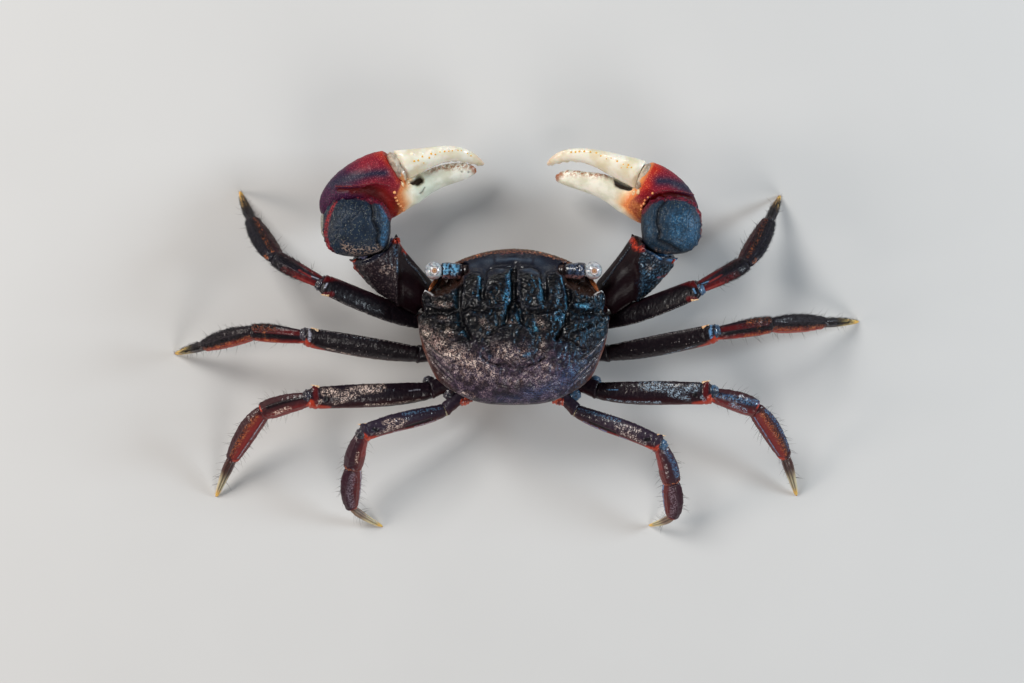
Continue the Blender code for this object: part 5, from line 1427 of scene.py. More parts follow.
def arm_finish(letter, arm):
    finish = Finish("arm_" + letter, 0.38, coat_roughness=0.18, gloss=0.13)
    fine = finish.noise(0.45, 4, 0.6)
    inner = finish.mark("inner")
    low_tone, fold_tone = arm["fold"]
    # Specks on the outer face; on the right arm their blue is a painted reflection.
    finish.base = finish.mix(arm["outer"], arm["speck"], fine.above(0.5, 0.66) * 0.6)
    finish.lay(finish.mix((7, 4, 8), (30, 8, 14), finish.noise(2.5)), inner)
    finish.lay((158, 138, 128), finish.mark("pale") * fine.above(0.48, 0.58) * 0.9)
    # Painted blue highlights near the ridge.
    finish.lay((84, 130, 162), finish.mark("sky") * fine.above(0.44, 0.62) * 0.75)
    # The fold skin, dark with painted glints on the crests of its folds.
    finish.lay(finish.mix(low_tone, fold_tone, finish.mark("fold_light")), finish.mark("fold"))
    red = finish.mix((74, 10, 16), (188, 62, 38), fine.above(0.4, 0.65))
    finish.lay(red, finish.mark("red"))
    finish.set("Coat Weight", 0.04 + 0.5 * fine.above(0.48, 0.62) * (1 - inner) + 0.3 * finish.mark("fold"))
    finish.bump(fine, 0.08)
    return finish.done()


def carve_arm(obj, claw, arm):
    place, normals = place_of(obj), normals_of(obj)
    plan = place[:, :2]
    side = claw["side"]
    ridge = np.array(arm["ridge"])[::-1]
    past_ridge = (plan[:, 0] - np.interp(plan[:, 1], ridge[:, 1], ridge[:, 0])) * side
    inner = rising(past_ridge, -0.1, 0.25)
    top = rising(normals[:, 2], 0.0, 0.4)
    from_block = np.linalg.norm(plan - arm["wrist_block"], axis=1)
    fold = (1 - rising(from_block, FOLD_REACH - 0.2, FOLD_REACH + 0.1)) * (1 - inner)
    waves = 0.5 + 0.5 * np.sin(from_block * 3.6 + 1.6 * cloud(place, 1.8, 73))
    waves *= rising(cloud(place, 2.4, 77), -0.7, 0.7)
    rugae = np.clip(1 - np.abs(cloud(place * (1, 1, 0.6), 0.7, 71)) * 2.6, -1, 1)
    grains = granules(place, 0.42, 74)
    height = 0.08 * rugae * (1 - inner) + 0.05 * grains * (1 - inner) + 0.02 * cloud(place, 0.7, 72)
    hollow = rising(past_ridge, 0.2, 1.2) * (1 - rising(past_ridge, 2.5, 5))
    height += (0.55 * bell(past_ridge + 0.15, 0.4) - 0.35 * hollow) * top
    lip = 0.12 * bell(from_block - FOLD_REACH - 0.4, 0.3) * (1 - inner)
    height += lip - 0.3 * fold + 0.16 * fold * waves
    red = relief_of(plan, arm["red"])
    height += 0.35 * red * top
    raise_points(obj, height)
    mark(obj, "inner", inner)
    mark(obj, "fold", fold)
    mark(obj, "fold_light", rising(waves, 0.4, 0.95))
    mark(obj, "red", rising(red, 0.35, 0.95))
    mark(obj, "pale", relief_of(plan, arm["pale"]) * top)
    mark(obj, "sky", relief_of(plan, arm["sky"]) * top)


arm_bead = bead_finish("arm_bead", (34, 50, 68), (14, 18, 28))
red_bead = bead_finish("corner_red", (214, 74, 36), (150, 24, 20))
for letter, claw in CLAWS.items():
    arm = ARMS[letter]
    plate = plate_from(f"claw_{letter}_merus", 0.17, 10, swell=0.08)
    carve_arm(plate, claw, arm)
    owned(plate, arm_finish(letter, arm), "claw_arm", f"claw_{letter}_merus")
    row = spaced_along(arm["inner"], ARM_BEADS)
    found = nearest_on(plate, [from_body((x, y, ARM_HEIGHT)) for x, y in row])
    owned(scattered(f"arm_beads_{letter}", BEAD, found, 0.2, 0.36), arm_bead, "claw_arm")
    corners = [line[0] for line, _, _ in arm["red"][:2]]
    places, ways = nearest_on(plate, [from_body((x, y, ARM_HEIGHT)) for x, y in corners])
    teeth = joined_copies(f"arm_teeth_{letter}", TOOTH, places, ways + (0, 0, 0.2), 0.6 * MM, 1.1 * MM)
    owned(teeth, red_bead, "claw_arm")
    root_plate = plate_from(f"claw_{letter}_base", 0.25, 8, swell=0.08)
    place = place_of(root_plate)
    raise_points(root_plate, 0.1 * cloud(place, 1.1, 75) + 0.04 * cloud(place, 0.5, 76))
    arm_root_skin = skin_finish(f"arm_root_{letter}", (44, 20, 26), (18, 10, 16))
    owned(root_plate, arm_root_skin, "claw_arm", f"claw_{letter}_base")
    shoulder, elbow = (from_body(claw[name]) for name in ("shoulder", "elbow"))
    way = elbow - shoulder
    halves = (1.3 * MM, 2.9 * MM, 3.6 * MM)
    soft = joint_skin(f"elbow_skin_{letter}", elbow, way, (0, 0, 1), halves, 0.12)
    # The elbow skin is mottled between the fold's dark tone and its painted glint tone.
    deep, light = arm["fold"]
    owned(soft, skin_finish(f"elbow_blue_{letter}", light, deep), "claw_arm")
    halves = (0.9 * MM, 2.2 * MM, 2.4 * MM)
    soft = joint_skin(f"shoulder_skin_{letter}", shoulder, way, (0, 0, 1), halves, 0.08)
    owned(soft, skin_finish(f"shoulder_{letter}", (70, 30, 28), (26, 12, 16)), "claw_arm")
print("arms dressed")

# %% [markdown]
# The eight walking legs share one plan: a short base, a long flat merus with a spine near its far
# end, then carpus, propodus and a claw-like dactylus. Their joints, in millimetres from the body
# point, are listed here with the lean of each leg's crest, because colour, beads, skins and hairs
# are all placed by them.

# %% Leg joints
LEG_JOINTS = {
    "l1": ((-11.5, 0.9, 7.4), (-19.2, 1.2, 8.9), (-39.2, 8.9, 18.5), (-48.7, 14.1, 15.5),
           (-54.6, 22.3, 7.0), (-57.8, 28.7, 0)),
    "r1": ((11.5, 0.9, 7.4), (19.0, 1.2, 8.9), (37.8, 7.9, 18.5), (47.4, 13.1, 15.5), (53.3, 22.1, 7.0),
           (56.3, 27.8, 0)),
    "l2": ((-11.5, -4.9, 7.8), (-20.2, -5.6, 9.8), (-42.5, -2.2, 19.0), (-53.4, -1.3, 15.5),
           (-64.6, -4.0, 6.5), (-71.5, -5.7, 0)),
    "r2": ((11.5, -4.9, 7.8), (20.0, -5.4, 9.8), (41.2, -1.5, 19.0), (52.8, 0.3, 15.5), (64.9, 0.8, 6.0),
           (73.0, 1.1, 0)),
    "l3": ((-10.0, -9.8, 8.2), (-17.4, -13.2, 10.2), (-41.7, -14.9, 18.5), (-51.4, -17.6, 14.5),
           (-58.9, -27.7, 5.5), (-62.8, -36.0, 0)),
    "r3": ((10.0, -9.8, 8.2), (17.6, -13.2, 10.2), (40.5, -14.0, 18.5), (49.6, -17.0, 14.5),
           (56.8, -27.2, 5.5), (59.8, -35.8, 0)),
    "l4": ((-8.2, -12.0, 8.8), (-14.4, -17.2, 10.0), (-30.7, -22.3, 16.0), (-33.3, -29.3, 10.5),
           (-33.6, -38.0, 4.0), (-27.4, -42.3, 0)),
    "r4": ((8.2, -12.0, 8.8), (13.2, -17.4, 10.0), (29.9, -24.6, 16.0), (32.7, -32.2, 10.5),
           (33.0, -39.8, 5.0), (28.5, -42.0, 0)),
}
SEGMENTS = ("base", "merus", "carpus", "propodus", "dactylus")
LEG_LEAN = {"1": (-38, -55), "2": (35, 50), "3": (64, 68), "4": (66, 72)}
LEG_HALF = {
    "1": ((2.7, 1.9), (3.1, 1.7), (2.1, 1.5), (2.6, 1.4), (1.15, 0.9)),
    "2": ((2.7, 2.0), (3.15, 1.75), (2.3, 1.6), (2.35, 1.4), (1.2, 0.95)),
    "3": ((2.3, 1.8), (2.7, 1.6), (2.4, 1.6), (2.4, 1.4), (1.25, 0.95)),
    "4": ((1.8, 1.6), (2.05, 1.4), (2.25, 1.5), (2.4, 1.3), (0.95, 0.8)),
}
print("legs:", len(LEG_JOINTS), "segments each:", len(SEGMENTS))

# %% [markdown]
# The first two pairs are nearly black with a maroon cast, the third darker violet with grains that
# carry a painted sheen, the last violet-grey. Each plate carries painted strokes: a line in shares of
# its length and breadth with a half width in millimetres, for orange-red corners, dark red collars,
# golden networks, grains with a painted sheen, smooth dark fields, painted pale gleams and other
# painted highlights and sheens. One finish reads them all. The grains are painted beige on the left
# side and blue-white on the right, a painted sheen of the warm and the bluish lamp, and the claws at
# the tips are striped horn with a yellow point.

# %% Leg finishes
LEG_TONES = {
    "1": {"merus": ((13, 8, 14), (30, 8, 14)), "far": ((24, 22, 32), (64, 24, 24))},
    "2": {"merus": ((17, 9, 16), (38, 10, 16)), "far": ((26, 18, 26), (140, 38, 28))},
    "3": {"merus": ((24, 13, 23), (46, 12, 16)), "far": ((58, 28, 32), (112, 30, 30))},
    "4": {"merus": ((42, 32, 46), (62, 22, 26)), "far": ((54, 28, 38), (98, 36, 34))},
}
SMOOTH_TONES = {"maroon": (82, 10, 14), "rosy": (126, 44, 42), "ember": (182, 58, 34), "dark": (12, 8, 14)}
# Of these tones, gleam, sheen and sky are painted highlights, the blue strokes shown on the right side only
# are a painted sheen, and grain is real grain whose tone is a painted sheen.
LEG_STROKES = {
    ("1", "merus"): {
        "maroon": ((((0.86, 0.1), (0.97, 0.35)), 1.2), (((0.9, 0.93), (0.97, 0.98)), 0.5)),
        "gleam": ((((0.965, 0.6), (0.975, 0.75)), 0.16),),
    },
    ("1", "carpus"): {
        "maroon": ((((0.05, 0.9), (0.7, 0.97)), 0.8), (((0.1, 0.3), (0.5, 0.2)), 0.6)),
        "gleam": ((((0.08, 0.55), (0.2, 0.6)), 0.14),),
        # The first rosy stroke here is a painted pinkish glint.
        "rosy": ((((0.2, 0.66), (0.45, 0.62)), 0.25), (((0.1, 0.96), (0.5, 0.96)), 0.25)),
    },
    ("1", "propodus"): {
        "gold": ((((0.1, 0.55), (0.5, 0.5), (0.95, 0.4)), 0.55), (((0.05, 0.95), (0.12, 0.9)), 0.35)),
    },
    ("2", "merus"): {
        "ember": ((((0.85, 0.14), (0.92, 0.22), (0.98, 0.34)), 1.25),),
        "maroon": ((((0.6, 0.1), (0.84, 0.14)), 0.8),),
        "gleam": ((((0.97, 0.55), (0.98, 0.8)), 0.3),),
        "grain": ((((0.1, 0.2), (0.5, 0.2), (0.8, 0.4)), 0.3),),
    },
    ("2", "carpus"): {
        "rosy": ((((0.1, 0.1), (0.95, 0.12)), 0.9),),
        "gold": ((((0.55, 0.92), (0.95, 0.9)), 0.45), (((0.72, 0.9), (0.74, 0.5)), 0.4),
                 (((0.5, 0.3), (0.95, 0.3)), 0.5)),
        "maroon": ((((0.1, 0.86), (0.9, 0.8)), 0.5),),
        "ember": ((((0.02, 0.3), (0.08, 0.2)), 0.7), (((0.3, 0.24), (0.9, 0.24)), 0.3)),
        "dark": ((((0.15, 0.6), (0.55, 0.6)), 0.5),),
    },
    ("2", "propodus"): {
        "ember": ((((0.1, 0.05), (0.95, 0.1)), 0.7),),
        "gold": ((((0.05, 0.42), (0.5, 0.36), (0.95, 0.42)), 0.75),),
    },
    ("3", "merus"): {
        "maroon": ((((0.4, 0.0), (0.8, 0.04)), 0.6), (((0.955, 0.3), (0.955, 0.95)), 0.55)),
        "ember": ((((0.86, 0.08), (0.95, 0.16)), 0.85), (((0.98, 0.2), (0.99, 0.4)), 0.6)),
        "grain": ((((0.42, 0.9), (0.62, 0.8), (0.76, 0.7), (0.88, 0.84)), 0.9),
                  (((0.66, 0.6), (0.8, 0.4)), 0.7), (((0.1, 0.24), (0.34, 0.2), (0.56, 0.22)), 0.36),
                  (((0.92, 0.5), (0.94, 0.3)), 0.4)),
        "dark": ((((0.87, 0.5), (0.87, 0.62)), 0.45),),
        "gleam": ((((0.1, 0.74), (0.2, 0.74)), 0.1),),
    },
    ("3", "carpus"): {
        "rosy": ((((0.05, 0.12), (0.95, 0.1)), 0.6),),
        "grain": ((((0.4, 0.38), (0.75, 0.32)), 0.55),),
        "ember": ((((0.0, 0.3), (0.06, 0.2)), 0.5), (((0.95, 0.6), (0.97, 0.85)), 0.18)),
        "dark": ((((0.1, 0.75), (0.8, 0.7)), 0.45),),
        "blue_sheen": ((((0.1, 0.66), (0.6, 0.7), (0.95, 0.86)), 0.7),),
    },
    ("3", "propodus"): {
        "gold": ((((0.1, 0.66), (0.9, 0.62)), 0.7),),
        "rosy": ((((0.1, 0.5), (0.9, 0.46)), 0.9),),
        "gleam": ((((0.1, 0.24), (0.5, 0.22)), 0.14), (((0.56, 0.22), (0.9, 0.22)), 0.14)),
        "maroon": ((((0.1, 0.06), (0.9, 0.06)), 0.35),),
        "blue_sheen": ((((0.1, 0.92), (0.9, 0.94)), 0.35),),
        "ember": ((((0.95, 0.1), (0.97, 0.4)), 0.35),),
    },
    ("4", "merus"): {
        "grain": ((((0.5, 0.56), (0.6, 0.74), (0.74, 0.8)), 0.5),
                  (((0.56, 0.4), (0.7, 0.34), (0.84, 0.3)), 0.45), (((0.64, 0.58), (0.72, 0.5)), 0.4)),
        "dark": ((((0.84, 0.5), (0.87, 0.62)), 0.5), (((0.2, 0.3), (0.5, 0.24)), 0.4)),
        "rosy": ((((0.1, 0.06), (0.9, 0.08)), 0.45),),
        "gleam": ((((0.12, 0.14), (0.4, 0.12)), 0.12), (((0.55, 0.1), (0.66, 0.1)), 0.1)),
        "sky": ((((0.03, 0.8), (0.2, 0.86), (0.5, 0.9)), 0.3),),
        "ember": ((((0.88, 0.08), (0.97, 0.14), (0.99, 0.3)), 0.75),),
    },
    ("4", "carpus"): {
        "rosy": ((((0.02, 0.1), (0.5, 0.12)), 0.8),),
        "grain": ((((0.45, 0.45), (0.75, 0.42)), 0.35),),
        "gold": ((((0.97, 0.05), (0.98, 0.95)), 0.4),),
        "blue_sheen": ((((0.1, 0.75), (0.5, 0.85), (0.8, 0.85)), 0.6),),
    },
    ("4", "propodus"): {
        "sheen": ((((0.12, 0.5), (0.5, 0.6), (0.85, 0.46)), 0.8),),
        "gleam": ((((0.05, 0.06), (0.85, 0.04)), 0.16),),
        "ember": ((((0.98, 0.3), (0.99, 0.6)), 0.35),),
    },
}


def leg_finish(name, upper, lower, glints, cool):
    finish = Finish(name, 0.32, coat_roughness=0.12, gloss=0.16)
    fine = finish.noise(0.35, 4, 0.6)
    speck = finish.noise(0.28, 5, 0.62)
    clumps = finish.noise(0.8, 4, 0.7)
    broad = finish.noise(2.2, 3)
    right = finish.sideways().above(-0.01, 0.01)
    finish.base = finish.mix(lower, upper, (finish.mark("crest") + 0.4 * broad).above(0.3, 0.8))
    finish.lay((74, 52, 56), fine.above(0.58, 0.68) * 0.4)
    for tone, colour in SMOOTH_TONES.items():
        finish.lay(colour, finish.mark(tone) * (0.3 + 0.5 * broad + 0.6 * fine))
    # One speckle mask for the gold strokes and the grains; the grains' beige on the left and blue-white on
    # the right is a painted sheen.
    worn = speck.above(0.46, 0.58) * (0.15 + clumps.above(0.42, 0.56))
    finish.lay((172, 96, 58), finish.mark("gold") * worn)
    light = finish.mix((214, 188, 174), (134, 166, 190), right * cool)
    finish.lay(light, finish.mark("grain") * worn)
    # A painted blue sheen, shown on the right side only.
    blue_sheen_tone = finish.mix((48, 62, 92), (92, 138, 176), speck.above(0.48, 0.6))
    finish.lay(blue_sheen_tone, finish.mark("blue_sheen") * right * fine.above(0.4, 0.56) * 0.85)
    # A painted pale sheen and painted blue highlights.
    finish.lay((150, 130, 142), finish.mark("sheen") * speck.above(0.44, 0.6) * 0.7)
    finish.lay((86, 120, 150), finish.mark("sky") * fine.above(0.44, 0.62) * 0.8)
    # Painted highlights, blue-white on the right side.
    shine = finish.mix((166, 168, 182), (104, 152, 196), right)
    finish.lay(shine, finish.mark("gleam") * fine.above(0.36, 0.52) * 0.9)
    finish.set("Coat Weight", 0.04 + glints * fine.above(0.44, 0.6))
    finish.set("Roughness", 0.26 + 0.3 * fine)
    beads = 1 - finish.cells(0.3)
    finish.bump(fine + beads * 0.6 * (finish.mark("grain") + finish.mark("gold")), 0.07)
    return finish.done()


def tip_finish(name, dark, horn):
    """Striped horn with a yellow point."""
    finish = Finish(name, 0.3, coat=0.4, bleed=0.15)
    along = finish.mark("along")
    fine = finish.noise(0.4, 3)
    finish.base = finish.mix(dark, horn, along.above(0.25, 0.6))
    finish.lay((52, 34, 30), finish.mark("stripe") * (1 - along.above(0.84, 0.96)) * 0.9)
    finish.lay((230, 180, 66), along.above(0.72, 0.92) * 0.8)
    finish.lay((176, 96, 36), along.above(0.95, 1.0) * 0.7)
    finish.bump(fine, 0.04)
    return finish.done()


# Per pair: how strong the coat glints are, and how far grains on the right take the painted blue-white
# sheen.
GLINTS_AND_COOL = {"1": (0.12, 0.85), "2": (0.3, 0.85), "3": (0.55, 0.85), "4": (0.55, 0.25)}
leg_skins = {}
for pair, tones in LEG_TONES.items():
    glints, cool = GLINTS_AND_COOL[pair]
    for part, (upper, lower) in tones.items():
        leg_skins[pair, part] = leg_finish(f"leg_{pair}_{part}", upper, lower, glints, cool)
leg_skins["1", "tip"] = tip_finish("tip_dark", (30, 22, 28), (206, 162, 82))
leg_skins["2", "tip"] = tip_finish("tip_felt", (36, 26, 30), (206, 176, 104))
leg_skins["3", "tip"] = tip_finish("tip_horn", (70, 40, 36), (196, 184, 150))
leg_skins["4", "tip"] = tip_finish("tip_pale", (128, 104, 84), (206, 190, 146))
print("leg finishes:", len(leg_skins))

# %% [markdown]
# Each leg is dressed segment by segment. The ends of a real segment stay crisp and overlap the next
# one, so their edges are creased before the copy is smoothed, and the ends swell a little. The relief
# is low: transverse scales on the merus, keels and flat sides on the carpus and propodus, and two
# grooves along the dactylus. The painted strokes of the last cell are laid on at the same time.

# %% Dress the legs
LEG_CELL = {"base": 0.25, "merus": 0.185, "carpus": 0.165, "propodus": 0.165, "dactylus": 0.12}
LEG_ROUNDS = {"base": 8, "merus": 9, "carpus": 8, "propodus": 8, "dactylus": 8}
PAINTED = ("maroon", "rosy", "ember", "dark", "gold", "grain", "blue_sheen", "sheen", "sky", "gleam")


def leg_relief(segment, place, along, crest, marks):
    """Height in millimetres of the scales, keels and grooves of one segment."""
    height = 0.03 * cloud(place, 0.9, 81)
    ends = rising(along, 0.9, 0.97) + 0.7 * (1 - rising(along, 0.03, 0.09))
    if segment == "dactylus":
        grooves = bell(crest - 0.34, 0.07) + bell(crest - 0.66, 0.07)
        collar = 1 - rising(along, 0.0, 0.1)
        return height - 0.12 * grooves * (1 - rising(along, 0.85, 0.97)) + 0.1 * collar
    grains = granules(place, 0.34, 85)
    height += 0.16 * ends + 0.1 * grains * np.maximum(marks["grain"], marks["gold"])
    if segment == "merus":
        scales = np.clip(1 - np.abs(cloud(place * (1.5, 0.6, 0.6), 0.6, 82)) * 2.6, -1, 1)
        collar = bell(along - 0.925, 0.01)
        return height + 0.05 * scales * rising(crest, 0.25, 0.6) - 0.16 * collar - 0.25 * marks["dark"]
    if segment in ("carpus", "propodus"):
        keels = bell(crest - 0.3, 0.05) + bell(crest - 0.74, 0.05) - 0.8 * bell(crest - 0.5, 0.12)
        between = rising(along, 0.05, 0.2) * (1 - rising(along, 0.85, 0.95))
        return height + 0.16 * keels * between + 0.05 * cloud(place, 0.5, 83)
    return height + 0.05 * cloud(place, 0.6, 84)


def painted_marks(pair, segment, along, crest, size, lit):
    """How strongly each point carries each painted tone."""
    flat = np.column_stack([along, crest]) * size
    strokes = LEG_STROKES.get((pair, segment), {})
    marks = {}
    for tone in PAINTED:
        marks[tone] = np.zeros(len(along))
        for line, width in strokes.get(tone, ()):
            marks[tone] = np.maximum(marks[tone], bell(away_from(flat, np.array(line) * size), width))
        marks[tone] = rising(marks[tone], 0.15, 0.75) * (0.25 + 0.75 * lit)
    return marks


def dress_segment(key, number):
    """One plate of a leg, with its relief, marks and finish. Hands back what hairs need."""
    segment, pair, side = SEGMENTS[number], key[1], 1 if key[0] == "r" else -1
    node = f"leg_{key}_{segment}"
    start, end = LEG_JOINTS[key][number], LEG_JOINTS[key][number + 1]
    lean = LEG_LEAN[pair][0 if number < 2 else 1]
    crest_aim = crest_way(start, end, lean, side)
    plate = plate_from(node, LEG_CELL[segment], LEG_ROUNDS[segment], swell=0.07, crease=0.85)
    points, normals = points_of(plate), normals_of(plate)
    place = (points - BODY) / MM
    along, crest = limb_measures(place, start, end, crest_aim)
    lit = rising(normals[:, 2], -0.1, 0.35)
    size = (np.linalg.norm(np.subtract(end, start)), 2 * LEG_HALF[pair][number][0])
    marks = painted_marks(pair, segment, along, crest, size, lit)
    raise_points(plate, leg_relief(segment, place, along, crest, marks))
    mark(plate, "along", along)
    mark(plate, "crest", crest)
    for tone, values in marks.items():
        if tone in LEG_STROKES.get((pair, segment), {}):
            mark(plate, tone, values)
    if segment == "dactylus":
        mark(plate, "stripe", bell(crest - 0.34, 0.09) + bell(crest - 0.66, 0.09))
        owned(plate, leg_skins[pair, "tip"], "leg_tip", node)
    else:
        owned(plate, leg_skins[pair, "merus" if number < 2 else "far"], "leg", node)
    return {"place": points, "normal": normals, "along": along, "crest": crest, "lit": lit,
            "aim": crest_aim}


legs = {key: [dress_segment(key, number) for number in range(5)] for key in LEG_JOINTS}
print("leg segments dressed:", sum(len(parts) for parts in legs.values()))

# %% [markdown]
# Now the parts between and upon the segments: joint skins, which glow orange only on the last two
# pairs and at a few other places, knobs that are dark on the left and blue on the right, their blue a
# painted reflection, the beads along each crest, the small pale scales of the second pair, the spines,
# and the round hip pieces that show beside the shell, toned like the knobs.

# %% Leg joints, beads and spines
pale_bead = bead_finish("crest_bead", (168, 158, 154), (84, 74, 80))
spine_skin = bead_finish("spine_pale", (244, 222, 184), (226, 168, 116))
joint_skins = {
    "orange": skin_finish("joint_orange", (190, 76, 48), (96, 24, 26)),
    "dark": skin_finish("joint_dark", (40, 24, 30), (16, 10, 16)),
    "maroon": skin_finish("joint_maroon", (112, 34, 30), (52, 12, 18)),
    "cream": skin_finish("joint_cream", (176, 162, 130), (96, 78, 66)),
}
JOINT_TONES = {
    "1": ("dark", "dark", "dark", "dark"),
    "2": ("dark", "orange", "dark", "maroon"),
    "3": ("dark", "orange", "maroon", "orange"),
    "4": ("cream", "orange", "orange", "orange"),
}
# Knob and hip tones: dark on the left; on the right their blue is a painted reflection.
knob_tones = {"l": skin_finish("knob_dark", (58, 52, 62), (22, 18, 28)),
              "r": skin_finish("knob_blue", (66, 98, 128), (24, 32, 48))}
HIPS = (
    ("l", (-17.6, -11.5, 9.0), 1.35), ("l", (-13.4, -14.0, 9.4), 1.3),
    ("r", (17.0, -11.5, 9.0), 1.35), ("r", (12.8, -14.1, 9.4), 1.3),
)
HIP_SKINS = ((-10.9, -15.2, 9.4), (10.1, -15.2, 9.4))
LEG_CREST_BEADS = {"1": 62, "2": 62, "3": 34, "4": 34}
SCALE_LEVELS = (0.25, 0.42, 0.6, 0.76)
SCALE_STATIONS = 26
SCALES_KEPT = 0.3


def crest_line(part, count, low=0.1, high=0.9, level=None):
    """Points along a segment, one in each of count stations: its crest, or a lower level."""
    found = []
    for station in np.linspace(low, high, count):
        near = np.flatnonzero((np.abs(part["along"] - station) < 0.012) & (part["lit"] > 0.2))
        if len(near):
            crest = part["crest"][near]
            found.append(near[np.argmax(crest) if level is None else np.argmin(np.abs(crest - level))])
    return np.array(found, int)


for key, parts in legs.items():
    pair = key[1]
    joints = [from_body(joint) for joint in LEG_JOINTS[key]]
    for number in (1, 2, 3, 4):
        way = unit(unit(joints[number] - joints[number - 1]) + unit(joints[number + 1] - joints[number]))
        over = parts[number]["aim"]
        over = unit(over - way * (over @ way))
        breadth, thickness = np.minimum(LEG_HALF[pair][number - 1], LEG_HALF[pair][number])
        breadth, thickness = breadth * MM, thickness * MM
        soft = joint_skin(
            f"leg_{key}_skin_{number}", joints[number] - over * 0.15 * breadth, way, over,
            (0.9 * MM, 0.68 * breadth, 0.78 * thickness), 0.04, 90 + number,
        )
        owned(soft, joint_skins[JOINT_TONES[pair][number - 1]], "leg")
        if number == 2:
            knob = joint_skin(
                f"leg_{key}_knob", joints[number] + over * 0.3 * breadth + way * 0.2 * MM, way, over,
                (1.3 * MM, 0.62 * breadth, 0.86 * thickness), 0.07, 97,
            )
            owned(knob, knob_tones[key[0]], "leg")
    chosen = crest_line(parts[1], LEG_CREST_BEADS[pair])
    if pair == "2":
        scales = [crest_line(parts[1], SCALE_STATIONS, 0.12, 0.85, level) for level in SCALE_LEVELS]
        kept = [row[rng.random(len(row)) < SCALES_KEPT] for row in scales]
        chosen = np.concatenate([chosen] + kept)
    places, ways = parts[1]["place"][chosen], parts[1]["normal"][chosen]
    found = (places + ways * 0.05 * MM, ways)
    row = scattered(f"leg_{key}_crest_beads", SMALL_BEAD, found, 0.05, 0.11)
    owned(row, pale_bead, "leg")
    way = unit(joints[2] - joints[1])
    over = parts[1]["aim"]
    upward = unit(over - way * (over @ way))
    tip = farthest(frame["nodes"][f"leg_{key}_merus"], unit(upward + way * 0.9))
    aim = unit(upward * 0.35 + way)
    spine = joined_copies(f"leg_{key}_spine", TOOTH, [tip - aim * 0.4 * MM], [aim], 0.34 * MM, 1.8 * MM)
    owned(spine, spine_skin, "leg")
for number, (side, middle, radius) in enumerate(HIPS):
    halves = np.full(3, radius * MM)
    hip = joint_skin(f"hip_{number}", from_body(middle), (0, 1, 0), (0, 0, 1), halves, 0.05)
    owned(hip, knob_tones[side], "leg")
for number, middle in enumerate(HIP_SKINS):
    halves = np.array([2.3, 1.1, 1.2]) * MM
    soft = joint_skin(f"hip_skin_{number}", from_body(middle), (1, 0, 0), (0, 0, 1), halves, 0.12)
    owned(soft, joint_skins["orange"], "leg")
print("joints closed, beads and spines set")

# %% [markdown]
# Under the crab lie the plates of its breast, the folded tail flap with its segments, the two
# mouth plates and the small antennae. They are paler and mottled, and grooved where plates meet, the
# grooves painted darker as shade.

# %% Underside
def under_finish(name, pale, brown):
    finish = Finish(name, 0.42, coat=0.2)
    broad = finish.noise(2.2, 4)
    fine = finish.noise(0.4, 3)
    finish.base = finish.mix(brown, pale, broad.above(0.35, 0.65))
    # The seams between plates, painted darker as shade.
    finish.lay((84, 44, 44), finish.mark("seam") * 0.85)
    finish.lay((214, 196, 172), fine.above(0.64, 0.74) * 0.5)
    finish.bump(fine, 0.06)
    return finish.done()


def grooved(node, slot, finish, cell, seam_of, rounds=16):
    """A plate of the underside with seams cut in it."""
    plate = plate_from(node, cell, rounds, swell=0.05)
    place = place_of(plate)
    seam = seam_of(place)
    raise_points(plate, 0.05 * cloud(place, 1.0, 111) + 0.04 * granules(place, 0.5, 112) - 0.3 * seam)
    mark(plate, "seam", seam)
    owned(plate, finish, slot, node)


def breast_seams(place):
    plan = np.column_stack([np.abs(place[:, 0]), place[:, 1]])
    lines = [((3.5, y), (8.0, y + 0.8), (13.4, y + 2.6)) for y in (0.6, -2.8, -6.2, -9.6)]
    return np.maximum.reduce([bell(away_from(plan, line), 0.28) for line in lines])


def tail_seams(place):
    path = np.where(place[:, 1] < -13.6, place[:, 2] - 20, -place[:, 1] - 28)
    return bell(np.mod(path / 2.7 + 0.5, 1) - 0.5, 0.1)


def mouth_seams(place):
    across = np.abs(place[:, 0])
    return np.maximum(bell(across - 0.05, 0.2), bell(place[:, 2] - 8.2 + 0.3 * across, 0.25))


def antenna_seams(place):
    return bell(np.mod(place[:, 0] / 0.8, 1) - 0.5, 0.15)


belly = under_finish("belly_mottled", (176, 150, 128), (112, 78, 72))
grooved("sternum", "underside", belly, 0.29, breast_seams)
grooved("abdomen_flap", "underside", belly, 0.2, tail_seams)
mouth_skin = under_finish("mouth_brown", (150, 112, 92), (84, 54, 52))
grooved("mouthparts", "underside", mouth_skin, 0.18, mouth_seams)
antenna_skin = under_finish("antenna_brown", (138, 84, 56), (70, 40, 36))
for letter in "lr":
    grooved("antenna_" + letter, "shell", antenna_skin, 0.1, antenna_seams, 8)
print("underside dressed")

# %% [markdown]
# Stiff dark hairs stand on the legs: a close felt on the far segments of the first pair and along
# the upper side of the second, and long sparse bristles on the edges of the others. Each hair is a
# thin solid spike with three sides, bent a little towards the leg's tip. Its texture map gives it a
# small patch at its root's place on the leg, unrolled: along the leg one way, round it the other.

# %% Hairs as solid strands
HAIR_RINGS = 3
PATCH = 0.003


